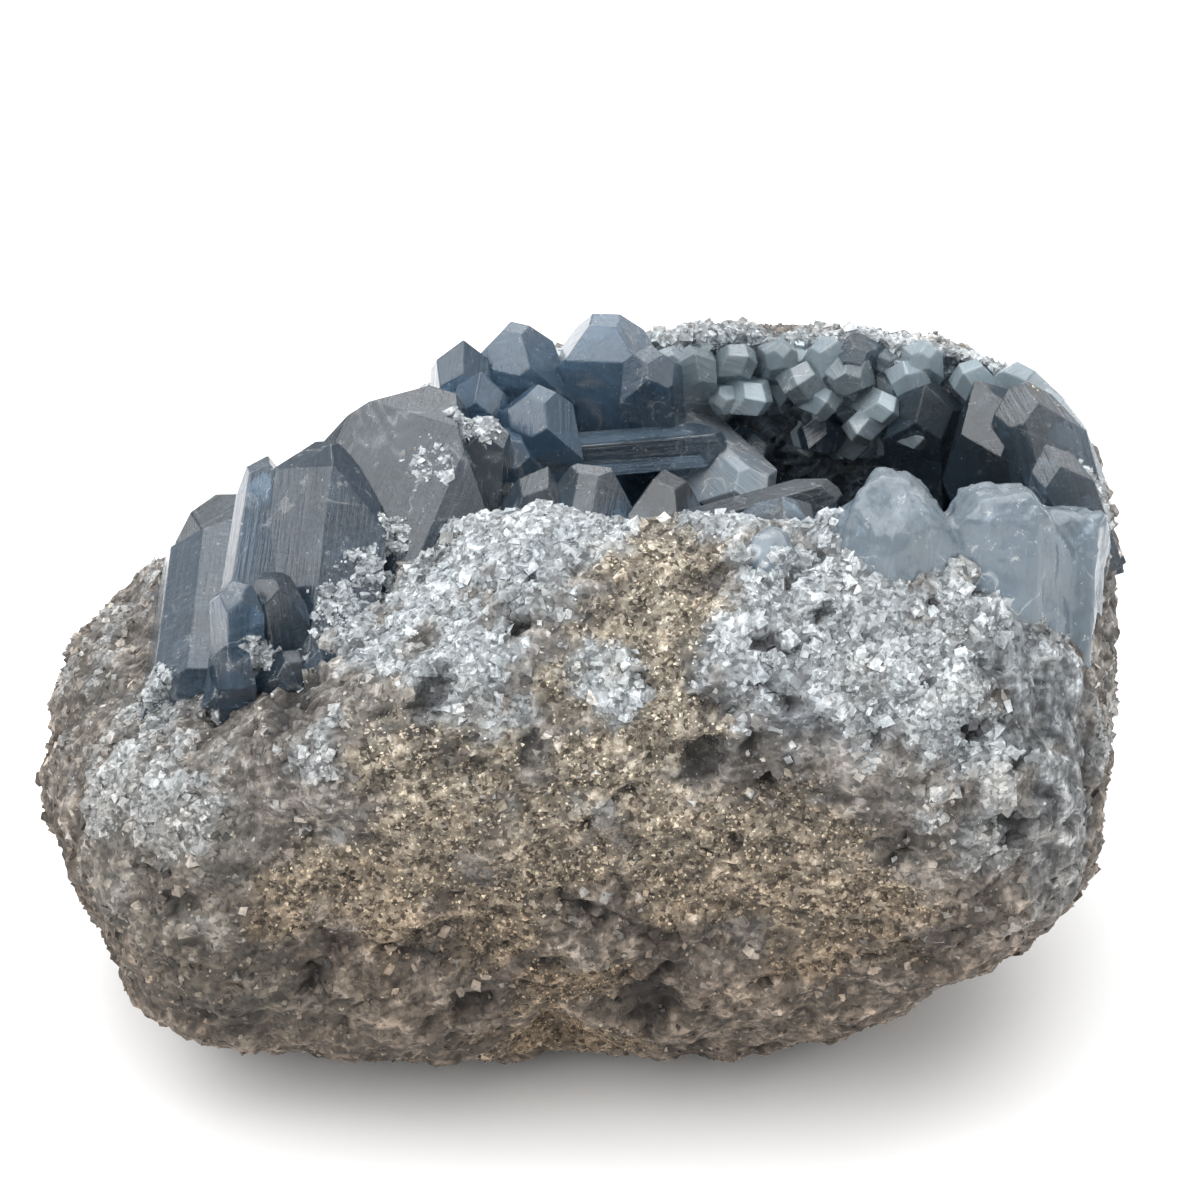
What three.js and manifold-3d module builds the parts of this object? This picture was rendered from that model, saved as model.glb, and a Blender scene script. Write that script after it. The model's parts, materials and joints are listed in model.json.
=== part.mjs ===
// Celestite geode: an egg-shaped lump of pale marl and sugary celestite, broken open along
// its top, with a hollow lined with blocky blue-grey crystals and larger crystals standing
// on its rim, its left shoulder and its right-hand front corner.
// Millimetres. +X runs along the length, -Y looks at the viewer, +Z is up. The origin is on
// the table, under the middle of the geode.
import * as THREE from 'three';
import { ConvexGeometry } from 'three/addons/geometries/ConvexGeometry.js';
import { mergeVertices } from 'three/addons/utils/BufferGeometryUtils.js';
import Module from 'manifold-3d';

const wasm = await Module();
wasm.setup();

// Driving dimensions of the lump
const HALF_LENGTH = 90; // the geode is 176 mm long
const HALF_DEPTH = 58; // and 122 mm from front to back over its lumps
const HEART = new THREE.Vector3(0, 0, 50); // every outer radius is measured from here
const GRID_HALF_HEIGHT = 52;
// What moves the origin from under the heart to under the middle of the finished geode
const TO_MIDDLE = [2.1, -2.1, 0];
const COLUMNS = 57;
const ROWS = 27;
const ROUNDING = 16; // the higher, the sharper the edges between the flats
const GAP = 0.35; // left between the rock and the crystals that stand on it

// The outer flats: azimuth from the front and elevation in degrees, distance from the heart
const FLATS = [
  [0, 0, 57], [0, 43, 66], [0, -48, 59], [22, -50, 66], [50, -45, 69.5], [-35, -50, 78.5],
  [90, -2, 82.5], [90, 22, 98.5], [90, 72, 69], [60, 3, 90.5], [45, 45, 80], [90, -48, 80],
  [90, -28, 88], [-90, 0, 95.5], [-90, 14, 95], [-90, 30, 85], [-86, 46, 69.5], [-80, 62, 48],
  [-60, -38, 91], [-90, -42, 88], [-90, -22, 94.5], [-52, 0, 88],
  [180, 0, 60], [180, 45, 65], [180, -48, 62], [130, 0, 86], [-130, 0, 87], [-135, 35, 64],
  [135, 35, 90], [0, 90, 56], [0, -90, 52],
];

// Swellings and dents: azimuth, elevation, angular half-width in degrees, height
const LUMPS = [
  [-95, 9, 14, 3], [103, 22, 7, 3], [112, 34, 10, 3], [-62, -35, 10, 2], [81, -15, 9, 2],
  [49, -48, 10, 2], [0, -60, 9, -3], [-52, -47, 10, 3], [-114, 35, 16, -2.5],
  [-8, -32, 7, -6], [-26, -30, 12, 2.5], [14, -36, 10, 2], [-46, 12, 8, -5],
  [62, -4, 8, 2], [30, 6, 14, 1.5], [12, 55, 12, -3], [-20, 54, 11, 3], [150, 20, 22, 3],
  [-150, -10, 24, 3],
  [190, -15, 16, -3], [120, -25, 12, 2.5], [165, -35, 12, 3], [-72, -42, 15, -6],
  [90, 27, 9, 3], [85, 12, 6, -2],
];

// The hollow: a rounded box of this centre and these half-sizes, open at the top
const HOLLOW_CENTRE = new THREE.Vector3(28.5, -1, 76);
const HOLLOW_HALF = new THREE.Vector3(50, 34, 44);
const HOLLOW_SQUARENESS = 3;
const HOLLOW_COLUMNS = 24;
const HOLLOW_ROWS = 12;
const LINING = 2.4; // the crust that the hollow's crystals grow from
const CRYSTALS_IN_HOLLOW = 15; // tried evenly all round; those that face the mouth are left out

const rad = THREE.MathUtils.degToRad;

// Unit vector at an azimuth from the front (-Y), turning towards +X, and an elevation
function towards(azimuth, elevation) {
  const a = rad(azimuth);
  const e = rad(elevation);
  return new THREE.Vector3(Math.sin(a) * Math.cos(e), -Math.cos(a) * Math.cos(e), Math.sin(e));
}

// A repeatable number from 0 to 1 for three whole numbers
function scatter(i, j, k) {
  const s = Math.sin(i * 127.1 + j * 311.7 + k * 74.7) * 43758.5453;
  return s - Math.floor(s);
}

// Smooth noise from -1 to 1: scatter at whole-number points, blended between them
function noise(x, y, z) {
  const [i, j, k] = [x, y, z].map(Math.floor);
  const [u, v, w] = [x - i, y - j, z - k].map((t) => t * t * (3 - 2 * t));
  let sum = 0;
  for (const a of [0, 1]) {
    for (const b of [0, 1]) {
      for (const c of [0, 1]) {
        const share = (a ? u : 1 - u) * (b ? v : 1 - v) * (c ? w : 1 - w);
        sum += share * scatter(i + a, j + b, k + c);
      }
    }
  }
  return 2 * sum - 1;
}

const flats = FLATS.map(([azimuth, elevation, distance]) => {
  return { normal: towards(azimuth, elevation), distance };
});
const lumps = LUMPS.map(([azimuth, elevation, width, height]) => {
  return { way: towards(azimuth, elevation), width: rad(width), height };
});

// Outer radius: the flats blended into one soft-edged body, plus the lumps, plus noise for
// broad swellings, smaller knobs, and ledges that run level round the rock
function rockRadius(way) {
  let sum = 0;
  for (const { normal, distance } of flats) {
    sum += Math.max(0, way.dot(normal) / distance) ** ROUNDING;
  }
  let radius = sum ** (-1 / ROUNDING);
  for (const lump of lumps) {
    const angle = way.angleTo(lump.way) / lump.width;
    radius += lump.height * Math.exp(-angle * angle);
  }
  const p = way.clone().multiplyScalar(radius);
  radius += 2.2 * noise(p.x / 26 + 3, p.y / 26 + 3, p.z / 26 + 3);
  radius += 1.3 * noise(p.x / 11 + 9, p.y / 11 + 9, p.z / 11 + 9);
  radius += 0.9 * noise(p.x / 30 + 5, p.y / 30 + 5, p.z / 8 + 5);
  return radius;
}

// The hollow's radius from its own centre: a rounded box with an uneven wall
function hollowRadius(way) {
  const n = HOLLOW_SQUARENESS;
  const sum = Math.abs(way.x / HOLLOW_HALF.x) ** n + Math.abs(way.y / HOLLOW_HALF.y) ** n
    + Math.abs(way.z / HOLLOW_HALF.z) ** n;
  const radius = sum ** (-1 / n);
  const p = way.clone().multiplyScalar(radius);
  return radius + 1.8 * noise(p.x / 14 + 2, p.y / 14 + 2, p.z / 14 + 2);
}

// A closed mesh with shared corners as a solid
function solidOf(geometry) {
  geometry.deleteAttribute('normal');
  geometry.deleteAttribute('uv');
  const merged = mergeVertices(geometry, 1e-4);
  return new wasm.Manifold(new wasm.Mesh({
    numProp: 3,
    vertProperties: merged.attributes.position.array,
    triVerts: new Uint32Array(merged.index.array),
  }));
}

// A closed skin round a centre. Its points lie in the directions of evenly spaced points of
// an ellipsoid with these half-sizes, at radius(direction) + extra.
function skin(centre, half, radius, extra, columns, rows) {
  const sphere = new THREE.SphereGeometry(1, columns, rows);
  sphere.rotateX(Math.PI / 2);
  const at = sphere.attributes.position;
  const way = new THREE.Vector3();
  for (let i = 0; i < at.count; i += 1) {
    way.fromBufferAttribute(at, i).multiply(half).normalize();
    way.multiplyScalar(radius(way) + extra).add(centre);
    at.setXYZ(i, way.x, way.y, way.z);
  }
  return solidOf(sphere);
}

// The room under the table top, which gives the rock its small flat spot
function underTable() {
  const side = 4 * HALF_LENGTH;
  return solidOf(new THREE.BoxGeometry(side, side, side).translate(0, 0, -side / 2));
}

function rockBody(extra) {
  const half = new THREE.Vector3(HALF_LENGTH, HALF_DEPTH, GRID_HALF_HEIGHT);
  return skin(HEART, half, rockRadius, extra, COLUMNS, ROWS);
}

function hollowBody(extra) {
  return skin(HOLLOW_CENTRE, HOLLOW_HALF, hollowRadius, extra, HOLLOW_COLUMNS, HOLLOW_ROWS);
}

// Celestite's cell sides set the slopes of its faces
const CELL = { a: 8.359, b: 5.352, c: 6.866 };
const PRISM = Math.atan2(CELL.b, CELL.c); // slope of the long side faces from the flat ones
const CHISEL = Math.atan2(CELL.a / 2, CELL.b); // slope of the end faces across the width
const WEDGE = Math.atan2(CELL.a, CELL.c); // slope of the end faces across the thickness

// The faces of one crystal: four long side faces, a chisel and a wedge at the tip, and a
// flat root; a large one also has a flat pair and a tip cut short. Each face is a direction
// (along, across, through) and a distance from the root.
function habit({ length, width, thick, cut, depth = 3 }) {
  const [w, t] = [width / 2, thick / 2];
  const faces = [[-1, 0, 0, depth]];
  if (cut) faces.push([0, 0, 1, t], [0, 0, -1, t], [1, 0, 0, length * cut]);
  for (const side of [1, -1]) {
    for (const flip of [1, -1]) {
      faces.push([0, side * Math.sin(PRISM), flip * Math.cos(PRISM), w * Math.sin(PRISM)]);
    }
    faces.push([Math.sin(CHISEL), side * Math.cos(CHISEL), 0, length * Math.sin(CHISEL)]);
    faces.push([Math.cos(WEDGE), 0, side * Math.sin(WEDGE), length * Math.cos(WEDGE)]);
  }
  return faces;
}

// The corners of a convex body: each is where three faces meet and no other cuts it off
function cornersOf(planes) {
  const corners = [];
  for (let i = 0; i < planes.length; i += 1) {
    for (let j = i + 1; j < planes.length; j += 1) {
      for (let k = j + 1; k < planes.length; k += 1) {
        const [p, q, r] = [planes[i], planes[j], planes[k]];
        const qr = q.normal.clone().cross(r.normal);
        const det = p.normal.dot(qr);
        if (Math.abs(det) < 1e-6) continue;
        const corner = qr.multiplyScalar(p.distance)
          .addScaledVector(r.normal.clone().cross(p.normal), q.distance)
          .addScaledVector(p.normal.clone().cross(q.normal), r.distance)
          .divideScalar(det);
        if (planes.every((f) => f.normal.dot(corner) < f.distance + 1e-5)) corners.push(corner);
      }
    }
  }
  return corners;
}

// One crystal that grows from its root to its tip, with its flat face looking towards an
// azimuth and elevation; extra swells every face outwards
function crystal(c, extra = 0) {
  const root = new THREE.Vector3(...c.root);
  const along = new THREE.Vector3(...c.tip).sub(root);
  const length = along.length();
  along.normalize();
  const facing = towards(...c.face);
  const through = facing.addScaledVector(along, -facing.dot(along)).normalize();
  const across = through.clone().cross(along);
  const planes = habit({ ...c, length }).map(([a, b, t, distance]) => {
    const normal = new THREE.Vector3().addScaledVector(along, a)
      .addScaledVector(across, b).addScaledVector(through, t);
    return { normal, distance: distance + extra };
  });
  const geometry = new ConvexGeometry(cornersOf(planes));
  return solidOf(geometry.translate(...c.root));
}

function joined(solids) {
  return solids.reduce((all, one) => all.add(one));
}

// The largest separate body of a solid, without the slivers that a cut may leave
function mainBody(solid) {
  return solid.decompose().reduce((best, one) => (one.volume() > best.volume() ? one : best));
}

// The big crystals: root and tip, the way the flat face looks, width and thickness.
// First those grown together on the shoulder left of the hollow
const SHOULDER = [
  // the great face in two steps, and the strip beside it
  { root: [-38, -20, 74], tip: [-21, 8, 105], face: [-25, 25], width: 43, thick: 17, cut: 0.93 },
  { root: [-44, -30, 72], tip: [-40, -6, 102], face: [-35, 30], width: 26, thick: 12, cut: 0.95 },
  { root: [-17, -10, 82], tip: [-16, 0, 103], face: [40, 10], width: 13, thick: 10, cut: 0.93 },
  // the tall pointed blade and the stubs at its foot
  { root: [-54, -36, 73], tip: [-50, -6, 98], face: [-35, 35], width: 10, thick: 7 },
  { root: [-53, -34, 74], tip: [-52, -36, 92], face: [-10, 50], width: 9, thick: 8, cut: 0.9 },
  { root: [-46, -32, 73], tip: [-48, -30, 91], face: [-20, 30], width: 11, thick: 8, cut: 0.9 },
  // low ones in the dark pocket in front
  { root: [-54, -34, 60], tip: [-53, -40, 83], face: [-30, 10], width: 9, thick: 7, cut: 0.9 },
  { root: [-48, -32, 59], tip: [-44, -38, 81], face: [20, 20], width: 12, thick: 8, cut: 0.93 },
  { root: [-40, -32, 62], tip: [-40, -38, 81], face: [-20, 20], width: 10, thick: 7 },
  // the broad slab at the far left, and the one behind it
  { root: [-59, -27, 65], tip: [-61, 18, 72], face: [-74, 56], width: 31, thick: 19, cut: 0.92 },
  { root: [-60, 2, 60], tip: [-60, 22, 80], face: [-150, 40], width: 26, thick: 18, cut: 0.9 },
];
// On the back rim: the dark block on its crest, its lean-to, and the heap of points left of it
const BACK_RIM = [
  { root: [4, 28, 69], tip: [3, 25, 111], face: [-8, 15], width: 27, thick: 12.5, cut: 0.93 },
  { root: [12, 24, 79], tip: [10, 15, 108], face: [35, 15], width: 14, thick: 10, cut: 0.93 },
  { root: [-12.5, 26, 75], tip: [-11.5, 22, 110], face: [-20, 20], width: 22, thick: 12, cut: 0.94 },
  { root: [-22, 22, 78], tip: [-20, 17, 108], face: [-35, 25], width: 14, thick: 10 },
  { root: [-10, 14, 75], tip: [-7, 6, 105], face: [-20, 35], width: 18, thick: 11, cut: 0.93 },
  { root: [-16, 4, 74], tip: [-12, 3, 100], face: [10, 30], width: 16, thick: 10, cut: 0.9 },
  { root: [-18, 16, 78], tip: [-17, 11, 105], face: [30, 20], width: 13, thick: 9 },
];
// On the front right-hand corner: a domed one, a low one, a square block, and a ribbed column
const CORNER = [
  { root: [44, -42, 72], tip: [45, -33, 111], face: [-8, 20], width: 27, thick: 17, cut: 0.92 },
  { root: [27, -42, 77], tip: [27, -37, 103], face: [-15, 25], width: 15, thick: 11, cut: 0.9 },
  { root: [61, -38, 70], tip: [61, -32, 110], face: [5, 12], width: 26, thick: 14, cut: 0.87 },
  { root: [71, -38, 58], tip: [73, -26, 103], face: [30, 3], width: 17, thick: 14, cut: 0.9 },
];
// Large crystals inside the hollow
const HEROES = [
  // across the mouth: a long dark prism, a blue one and a pale one
  { root: [-14, 4, 92], tip: [24, 16, 90], face: [0, 50], width: 8.5, thick: 7, cut: 0.97 },
  { root: [8, -28, 92], tip: [40, -16, 96], face: [0, 60], width: 10, thick: 8, cut: 0.97 },
  { root: [15, 32, 86], tip: [29, 2, 84], face: [10, 50], width: 15, thick: 10, cut: 0.95 },
  // behind the front rim
  { root: [-4, -28, 74], tip: [2, -3, 97], face: [-10, 50], width: 16, thick: 10, cut: 0.9 },
  { root: [-14, -20, 76], tip: [-6, -8, 97], face: [-30, 30], width: 13, thick: 9 },
  { root: [14, -33, 78], tip: [12, -9, 97], face: [20, 50], width: 13, thick: 9 },
  // at the right-hand end, and one at the back
  { root: [78, 8, 70], tip: [63, 12, 103], face: [-15, 20], width: 23, thick: 14 },
  { root: [78, -2, 76], tip: [69, 9, 105], face: [-35, 30], width: 18, thick: 12, cut: 0.95 },
  { root: [78, -14, 84], tip: [71, -11, 102], face: [-45, 30], width: 12, thick: 8 },
  { root: [60, 33, 68], tip: [56, 19, 99], face: [10, 20], width: 16, thick: 11 },
];
// The stubby row under the back rim: tip, the way each leans, and width
const STUBS = [
  { tip: [18, 23, 103], lean: [0, -0.6, 0.8], width: 12 },
  { tip: [35, 21, 98], lean: [-0.2, -0.9, 0.3], width: 10 },
  { tip: [45, 22, 101], lean: [0.2, -0.8, 0.5], width: 12 },
  { tip: [45, 19, 90], lean: [-0.3, -0.8, 0.1], width: 8.5 },
  { tip: [53, 21, 100], lean: [-0.2, -0.7, 0.5], width: 10 },
  { tip: [57, 23, 104], lean: [0.1, -0.6, 0.7], width: 9 },
  { tip: [62, 19, 101], lean: [-0.4, -0.6, 0.5], width: 10 },
  { tip: [68, 15, 103], lean: [-0.5, -0.5, 0.6], width: 10 },
  { tip: [73, 11, 100], lean: [-0.4, -0.5, 0.6], width: 10 },
  { tip: [75, 4, 99], lean: [-0.4, -0.2, 0.9], width: 9 },
];
const STUB_LENGTH = 1.45; // times the width
const STUB_THICKNESS = 0.7; // times the width

// A stub as a crystal: three turns of its flat face take it in turn, and every third is cut short
function stub({ tip, lean, width }, index) {
  const back = new THREE.Vector3(...lean).setLength(-STUB_LENGTH * width);
  return {
    root: back.add(new THREE.Vector3(...tip)).toArray(),
    tip,
    face: [40 * (index % 3) - 40, 60],
    width,
    thick: STUB_THICKNESS * width,
    cut: index % 3 === 2 ? 0.9 : undefined,
  };
}

// The hollow's smaller crystals: evenly spread directions from its middle, each with its own
// size and lean, drawn from scatter
function crustCrystals() {
  const found = [];
  const golden = Math.PI * (3 - Math.sqrt(5));
  for (let i = 0; i < CRYSTALS_IN_HOLLOW; i += 1) {
    const pick = (k) => scatter(i, k, 7);
    const height = 1 - (2 * (i + 0.5)) / CRYSTALS_IN_HOLLOW;
    const ring = Math.sqrt(1 - height * height);
    const way = new THREE.Vector3(ring * Math.cos(i * golden), ring * Math.sin(i * golden), height);
    way.multiply(HOLLOW_HALF).normalize();
    const root = way.clone().multiplyScalar(hollowRadius(way) - LINING * 0.7).add(HOLLOW_CENTRE);
    const fromHeart = root.clone().sub(HEART);
    const inside = rockRadius(fromHeart.clone().normalize()) - fromHeart.length();
    if (inside < 3) continue;
    const size = 9 + 8 * pick(4) ** 2;
    const lean = new THREE.Vector3(pick(1) - 0.5, pick(2) - 0.5, pick(3) - 0.3).sub(way);
    found.push({
      root: root.toArray(),
      tip: lean.setLength(size * (0.9 + 0.5 * pick(8))).add(root).toArray(),
      face: [360 * pick(5), 60 * pick(6) - 20],
      width: size,
      thick: size * (0.6 + 0.3 * pick(9)),
      depth: 0,
    });
  }
  return found;
}

const underside = underTable();
const body = rockBody(0).subtract(underside);
const hollow = hollowBody(0);
const matrix = mainBody(body.subtract(hollow));
// What the crystals keep clear of
const rock = rockBody(GAP).subtract(hollowBody(-GAP));

const taken = [];
// A group of crystals grown together, cut where the rock and the groups before it are
function grownTogether(list) {
  let solid = joined(list.map((c) => crystal(c))).subtract(rock);
  for (const other of taken) solid = solid.subtract(other);
  taken.push(joined(list.map((c) => crystal(c, GAP))));
  return mainBody(solid);
}

const shoulder = grownTogether(SHOULDER);
const backRim = grownTogether(BACK_RIM);
const corner = grownTogether(CORNER);
const lining = hollowBody(-GAP).subtract(hollowBody(-GAP - LINING)).intersect(rockBody(-1));
const lined = joined([...HEROES, ...STUBS.map(stub), ...crustCrystals()].map((c) => crystal(c)))
  .subtract(rock).add(lining);
const crust = mainBody(taken.reduce((solid, other) => solid.subtract(other), lined));

// A solid as a named mesh with its own finish
function meshOf(name, solid, color, roughness) {
  const { vertProperties, triVerts } = solid.getMesh();
  const geometry = new THREE.BufferGeometry();
  geometry.setAttribute('position', new THREE.BufferAttribute(vertProperties, 3));
  geometry.setIndex(new THREE.BufferAttribute(triVerts, 1));
  geometry.translate(...TO_MIDDLE);
  geometry.computeVertexNormals();
  const material = new THREE.MeshStandardMaterial({ color, roughness, metalness: 0 });
  const mesh = new THREE.Mesh(geometry, material);
  mesh.name = name;
  return mesh;
}

const geode = new THREE.Group();
geode.add(meshOf('matrix', matrix, 0x9c9489, 0.9));
geode.add(meshOf('hollow_crystals', crust, 0x5c6a75, 0.2));
geode.add(meshOf('shoulder_crystals', shoulder, 0x66727e, 0.25));
geode.add(meshOf('back_rim_crystals', backRim, 0x5f6c79, 0.2));
geode.add(meshOf('corner_crystals', corner, 0x9fa9b0, 0.35));

export default geode;
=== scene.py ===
"""The looks of a celestite geode: grainy marl and sugary celestite round blue-grey crystals.

Every shape is made in millimetres round the same heart as the solids, then moved so that the
origin is on the table under the middle of the geode, and scaled to metres.
"""

import itertools
import json
import math

import bmesh
import bpy
import numpy as np
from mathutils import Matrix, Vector

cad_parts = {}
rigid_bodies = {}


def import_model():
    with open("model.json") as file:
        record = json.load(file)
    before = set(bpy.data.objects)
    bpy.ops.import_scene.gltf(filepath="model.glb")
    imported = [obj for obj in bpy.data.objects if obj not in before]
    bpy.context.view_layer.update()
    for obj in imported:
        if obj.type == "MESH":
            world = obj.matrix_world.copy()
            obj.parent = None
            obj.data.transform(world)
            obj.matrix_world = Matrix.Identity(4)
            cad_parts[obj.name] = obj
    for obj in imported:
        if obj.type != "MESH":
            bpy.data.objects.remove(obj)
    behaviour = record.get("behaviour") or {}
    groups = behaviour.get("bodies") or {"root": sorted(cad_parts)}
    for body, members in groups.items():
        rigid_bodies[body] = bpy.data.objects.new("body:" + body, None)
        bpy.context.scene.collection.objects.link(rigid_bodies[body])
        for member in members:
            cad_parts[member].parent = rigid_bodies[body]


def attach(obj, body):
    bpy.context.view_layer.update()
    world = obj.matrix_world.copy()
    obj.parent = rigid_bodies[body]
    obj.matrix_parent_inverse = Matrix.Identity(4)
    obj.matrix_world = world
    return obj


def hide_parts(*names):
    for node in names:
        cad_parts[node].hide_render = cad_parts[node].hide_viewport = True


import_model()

bl_info = {
    "name": "Celestite Geode",
    "version": (1, 0, 0),
    "blender": (4, 5, 0),
    "location": "View3D > Sidebar > Geode",
    "description": "Builds a celestite geode and the stage it is shown on",
    "category": "Add Mesh",
}

MM = 0.001
HEART = np.array([0.0, 0.0, 50.0])
TO_MIDDLE = np.array([2.1, -2.1, 0.0])
HALF = np.array([90.0, 58.0, 52.0])
ROUNDING = 16
HOLLOW_CENTRE = np.array([28.5, -1.0, 76.0])
HOLLOW_HALF = np.array([50.0, 34.0, 44.0])
HOLLOW_SQUARENESS = 3
HALVINGS = 22  # steps in the search for the rim
RIM_ROUNDS, RIM_REACH = 6, 6  # how often, and how many rows either way, the rim is averaged
ROW_SPREAD = [0, 0.07, 1], [0, 0.24, 1]  # share of the skin's rows, and of the way up they reach

# Azimuth from the front and elevation in degrees, distance from the heart
FLATS = [
    (0, 0, 57), (0, 43, 66), (0, -48, 59), (22, -50, 66), (50, -45, 69.5), (-35, -50, 78.5),
    (90, -2, 82.5), (90, 22, 98.5), (90, 72, 69), (60, 3, 90.5), (45, 45, 80), (90, -48, 80),
    (90, -28, 88), (-90, 0, 95.5), (-90, 14, 95), (-90, 30, 85), (-86, 46, 69.5), (-80, 62, 48),
    (-60, -38, 91), (-90, -42, 88), (-90, -22, 94.5), (-52, 0, 88),
    (180, 0, 60), (180, 45, 65), (180, -48, 62), (130, 0, 86), (-130, 0, 87), (-135, 35, 64),
    (135, 35, 90), (0, 90, 56), (0, -90, 52),
]
# Azimuth, elevation, angular half-width in degrees, height
LUMPS = [
    (-95, 9, 14, 3), (103, 22, 7, 3), (112, 34, 10, 3), (-62, -35, 10, 2), (81, -15, 9, 2),
    (49, -48, 10, 2), (0, -60, 9, -3), (-52, -47, 10, 3), (-114, 35, 16, -2.5),
    (-8, -32, 7, -6), (-26, -30, 12, 2.5), (14, -36, 10, 2), (-46, 12, 8, -5),
    (62, -4, 8, 2), (30, 6, 14, 1.5), (12, 55, 12, -3), (-20, 54, 11, 3),
    (150, 20, 22, 3), (-150, -10, 24, 3), (190, -15, 16, -3), (120, -25, 12, 2.5),
    (165, -35, 12, 3), (-72, -42, 15, -6), (90, 27, 9, 3), (85, 12, 6, -2),
]

# Layers of noise: height, size and shift
SKIN_NOISE = [(2.2, 26, 3), (1.3, 11, 9), (0.9, (30, 30, 8), 5)]
WALL_NOISE = [(1.8, 14, 2)]
ROUGH_NOISE = [(1.0, 5.5, 2), (0.7, 2.6, 6), (0.3, 1.4, 1)]
FIBRE_NOISE = [(1.2, (2.6, 2.6, 22), 11), (0.4, (1.2, 1.2, 9), 0)]
WEAR_NOISE = [(0.7, 6, 0), (0.5, (2.2, 2.2, 12), 3), (0.25, (0.9, 0.9, 6), 5)]
FRAY = [(4, 7, 0), (3, 3, 0)]
BACK_SUGAR = [(1, 15, 1), (0.4, 4, 0)]
LOOSE_SUGAR = [(1, 8, 3), (0.7, 3.1, 1)]
PORES = [(1, 4.2, 7), (0.5, 1.9, 0)]
KNOB, BEAD = 3.4, 1.7  # sizes of the round grain

# Patches of the surface: middle and reach in millimetres
SUGAR = [
    (-22, -33, 88, 14), (-10, -39, 96, 12), (-31, -39, 83, 10), (-17, -51, 88, 10),
    (2, -55, 83, 6), (-4, -37, 99, 9), (30, -45, 97, 11), (38, -50, 92, 13), (49, -55, 85, 13),
    (58, -57, 73, 8), (26, -53, 89, 8), (-65, -27, 66, 10), (-73, -40, 58, 8),
    (-64, -49, 61, 10), (62, -43, 92, 9), (-41, -7, 80, 9), (19, -34, 102, 6),
    (-67, -47, 69, 10), (53, -46, 95, 8), (-72, -40, 66, 6),
]
MARL = [
    (8, -41, 99, 10), (12, -47, 95, 10), (5, -53, 90, 9), (0, -55, 82, 7), (2, -57, 71, 8),
    (-23, -60, 65, 13), (-28, -59, 50, 12), (-6, -60, 56, 12), (14, -59, 58, 13),
    (28, -59, 54, 15), (-16, -59, 45, 9), (40, -60, 47, 10), (-4, -60, 32, 9), (-44, -58, 49, 8),
    (-4, -50, 12, 12), (10, -57, 77, 10), (20, 52, 60, 22), (-50, 45, 40, 20),
]
GREEN = [
    (-73, -47, 46, 11), (-62, -56, 37, 12), (-50, -59, 30, 11), (-79, -14, 58, 6),
    (-53, -55, 55, 7),
]
BLUE = [
    (29, -56, 84, 11), (38, -43, 98, 9), (60, -59, 59, 7), (-54, -20, 72, 10), (-4, -37, 99, 6),
]
FIBRES = [
    (67, -50, 87, 9), (70, -51, 76, 10), (72, -51, 64, 10), (72, -51, 52, 9), (64, -54, 80, 5),
    (70, -52, 43, 6),
]
PITS = [
    (-54, -33, 71, 5), (-43, -43, 77, 4.7), (-50, -28, 74, 4.2), (-60, -16, 70, 3.3),
    (8, -59, 59, 2.3), (16, -57, 72, 3.7), (23, -58, 74, 2.7), (-23, -56, 83, 2.7),
    (63, -59, 60, 3.7), (9, -58, 28, 6), (-41, -59, 34, 2.7), (8, -57, 73, 1.9),
    (-10, -49, 91, 1.9), (57, -56, 76, 2.3), (22, -59, 59, 2.0), (26, -58, 68, 2.0),
    (-37, -37, 79, 2.5), (2, -59, 45, 1.9), (-18, -59, 30, 2.9), (46, -60, 56, 1.9),
]

# Creases across the front: how far right and how high their points are
CREASES = [
    [(-18, 66), (-10, 56), (-5, 46), (2, 40)], [(-32, 40), (-20, 37), (-11, 41)],
    [(-4, 50), (9, 43), (12, 40)], [(-11, 33), (9, 31), (29, 34), (50, 40), (82, 54)],
    [(-36, 52), (-28, 46), (-24, 38)], [(14, 60), (20, 54), (32, 52)],
    [(-60, 40), (-48, 33), (-30, 30)],
    [(30, 46), (44, 44), (58, 49)], [(-2, 62), (6, 66), (14, 64)],
]

# Big crystals: root, tip, way the flat face looks, width, thickness, where the tip is cut
SHOULDER = [
    ((-38, -20, 74), (-21, 8, 105), (-25, 25), 43, 17, 0.93),
    ((-44, -30, 72), (-40, -6, 102), (-35, 30), 26, 12, 0.95),
    ((-17, -10, 82), (-16, 0, 103), (40, 10), 13, 10, 0.93),
    ((-54, -36, 73), (-50, -6, 98), (-35, 35), 10, 7, None),
    ((-53, -34, 74), (-52, -36, 92), (-10, 50), 9, 8, 0.9),
    ((-46, -32, 73), (-48, -30, 91), (-20, 30), 11, 8, 0.9),
    ((-54, -34, 60), (-53, -40, 83), (-30, 10), 9, 7, 0.9),
    ((-48, -32, 59), (-44, -38, 81), (20, 20), 12, 8, 0.93),
    ((-40, -32, 62), (-40, -38, 81), (-20, 20), 10, 7, None),
    ((-59, -27, 65), (-61, 18, 72), (-74, 56), 31, 19, 0.92),
    ((-60, 2, 60), (-60, 22, 80), (-150, 40), 26, 18, 0.9),
]
BACK_RIM = [
    ((4, 28, 69), (3, 25, 111), (-8, 15), 27, 12.5, 0.93),
    ((12, 24, 79), (10, 15, 108), (35, 15), 14, 10, 0.93),
    ((-12.5, 26, 75), (-11.5, 22, 110), (-20, 20), 22, 12, 0.94),
    ((-22, 22, 78), (-20, 17, 108), (-35, 25), 14, 10, None),
    ((-10, 14, 75), (-7, 6, 105), (-20, 35), 18, 11, 0.93),
    ((-16, 4, 74), (-12, 3, 100), (10, 30), 16, 10, 0.9),
    ((-18, 16, 78), (-17, 11, 105), (30, 20), 13, 9, None),
]
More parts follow.
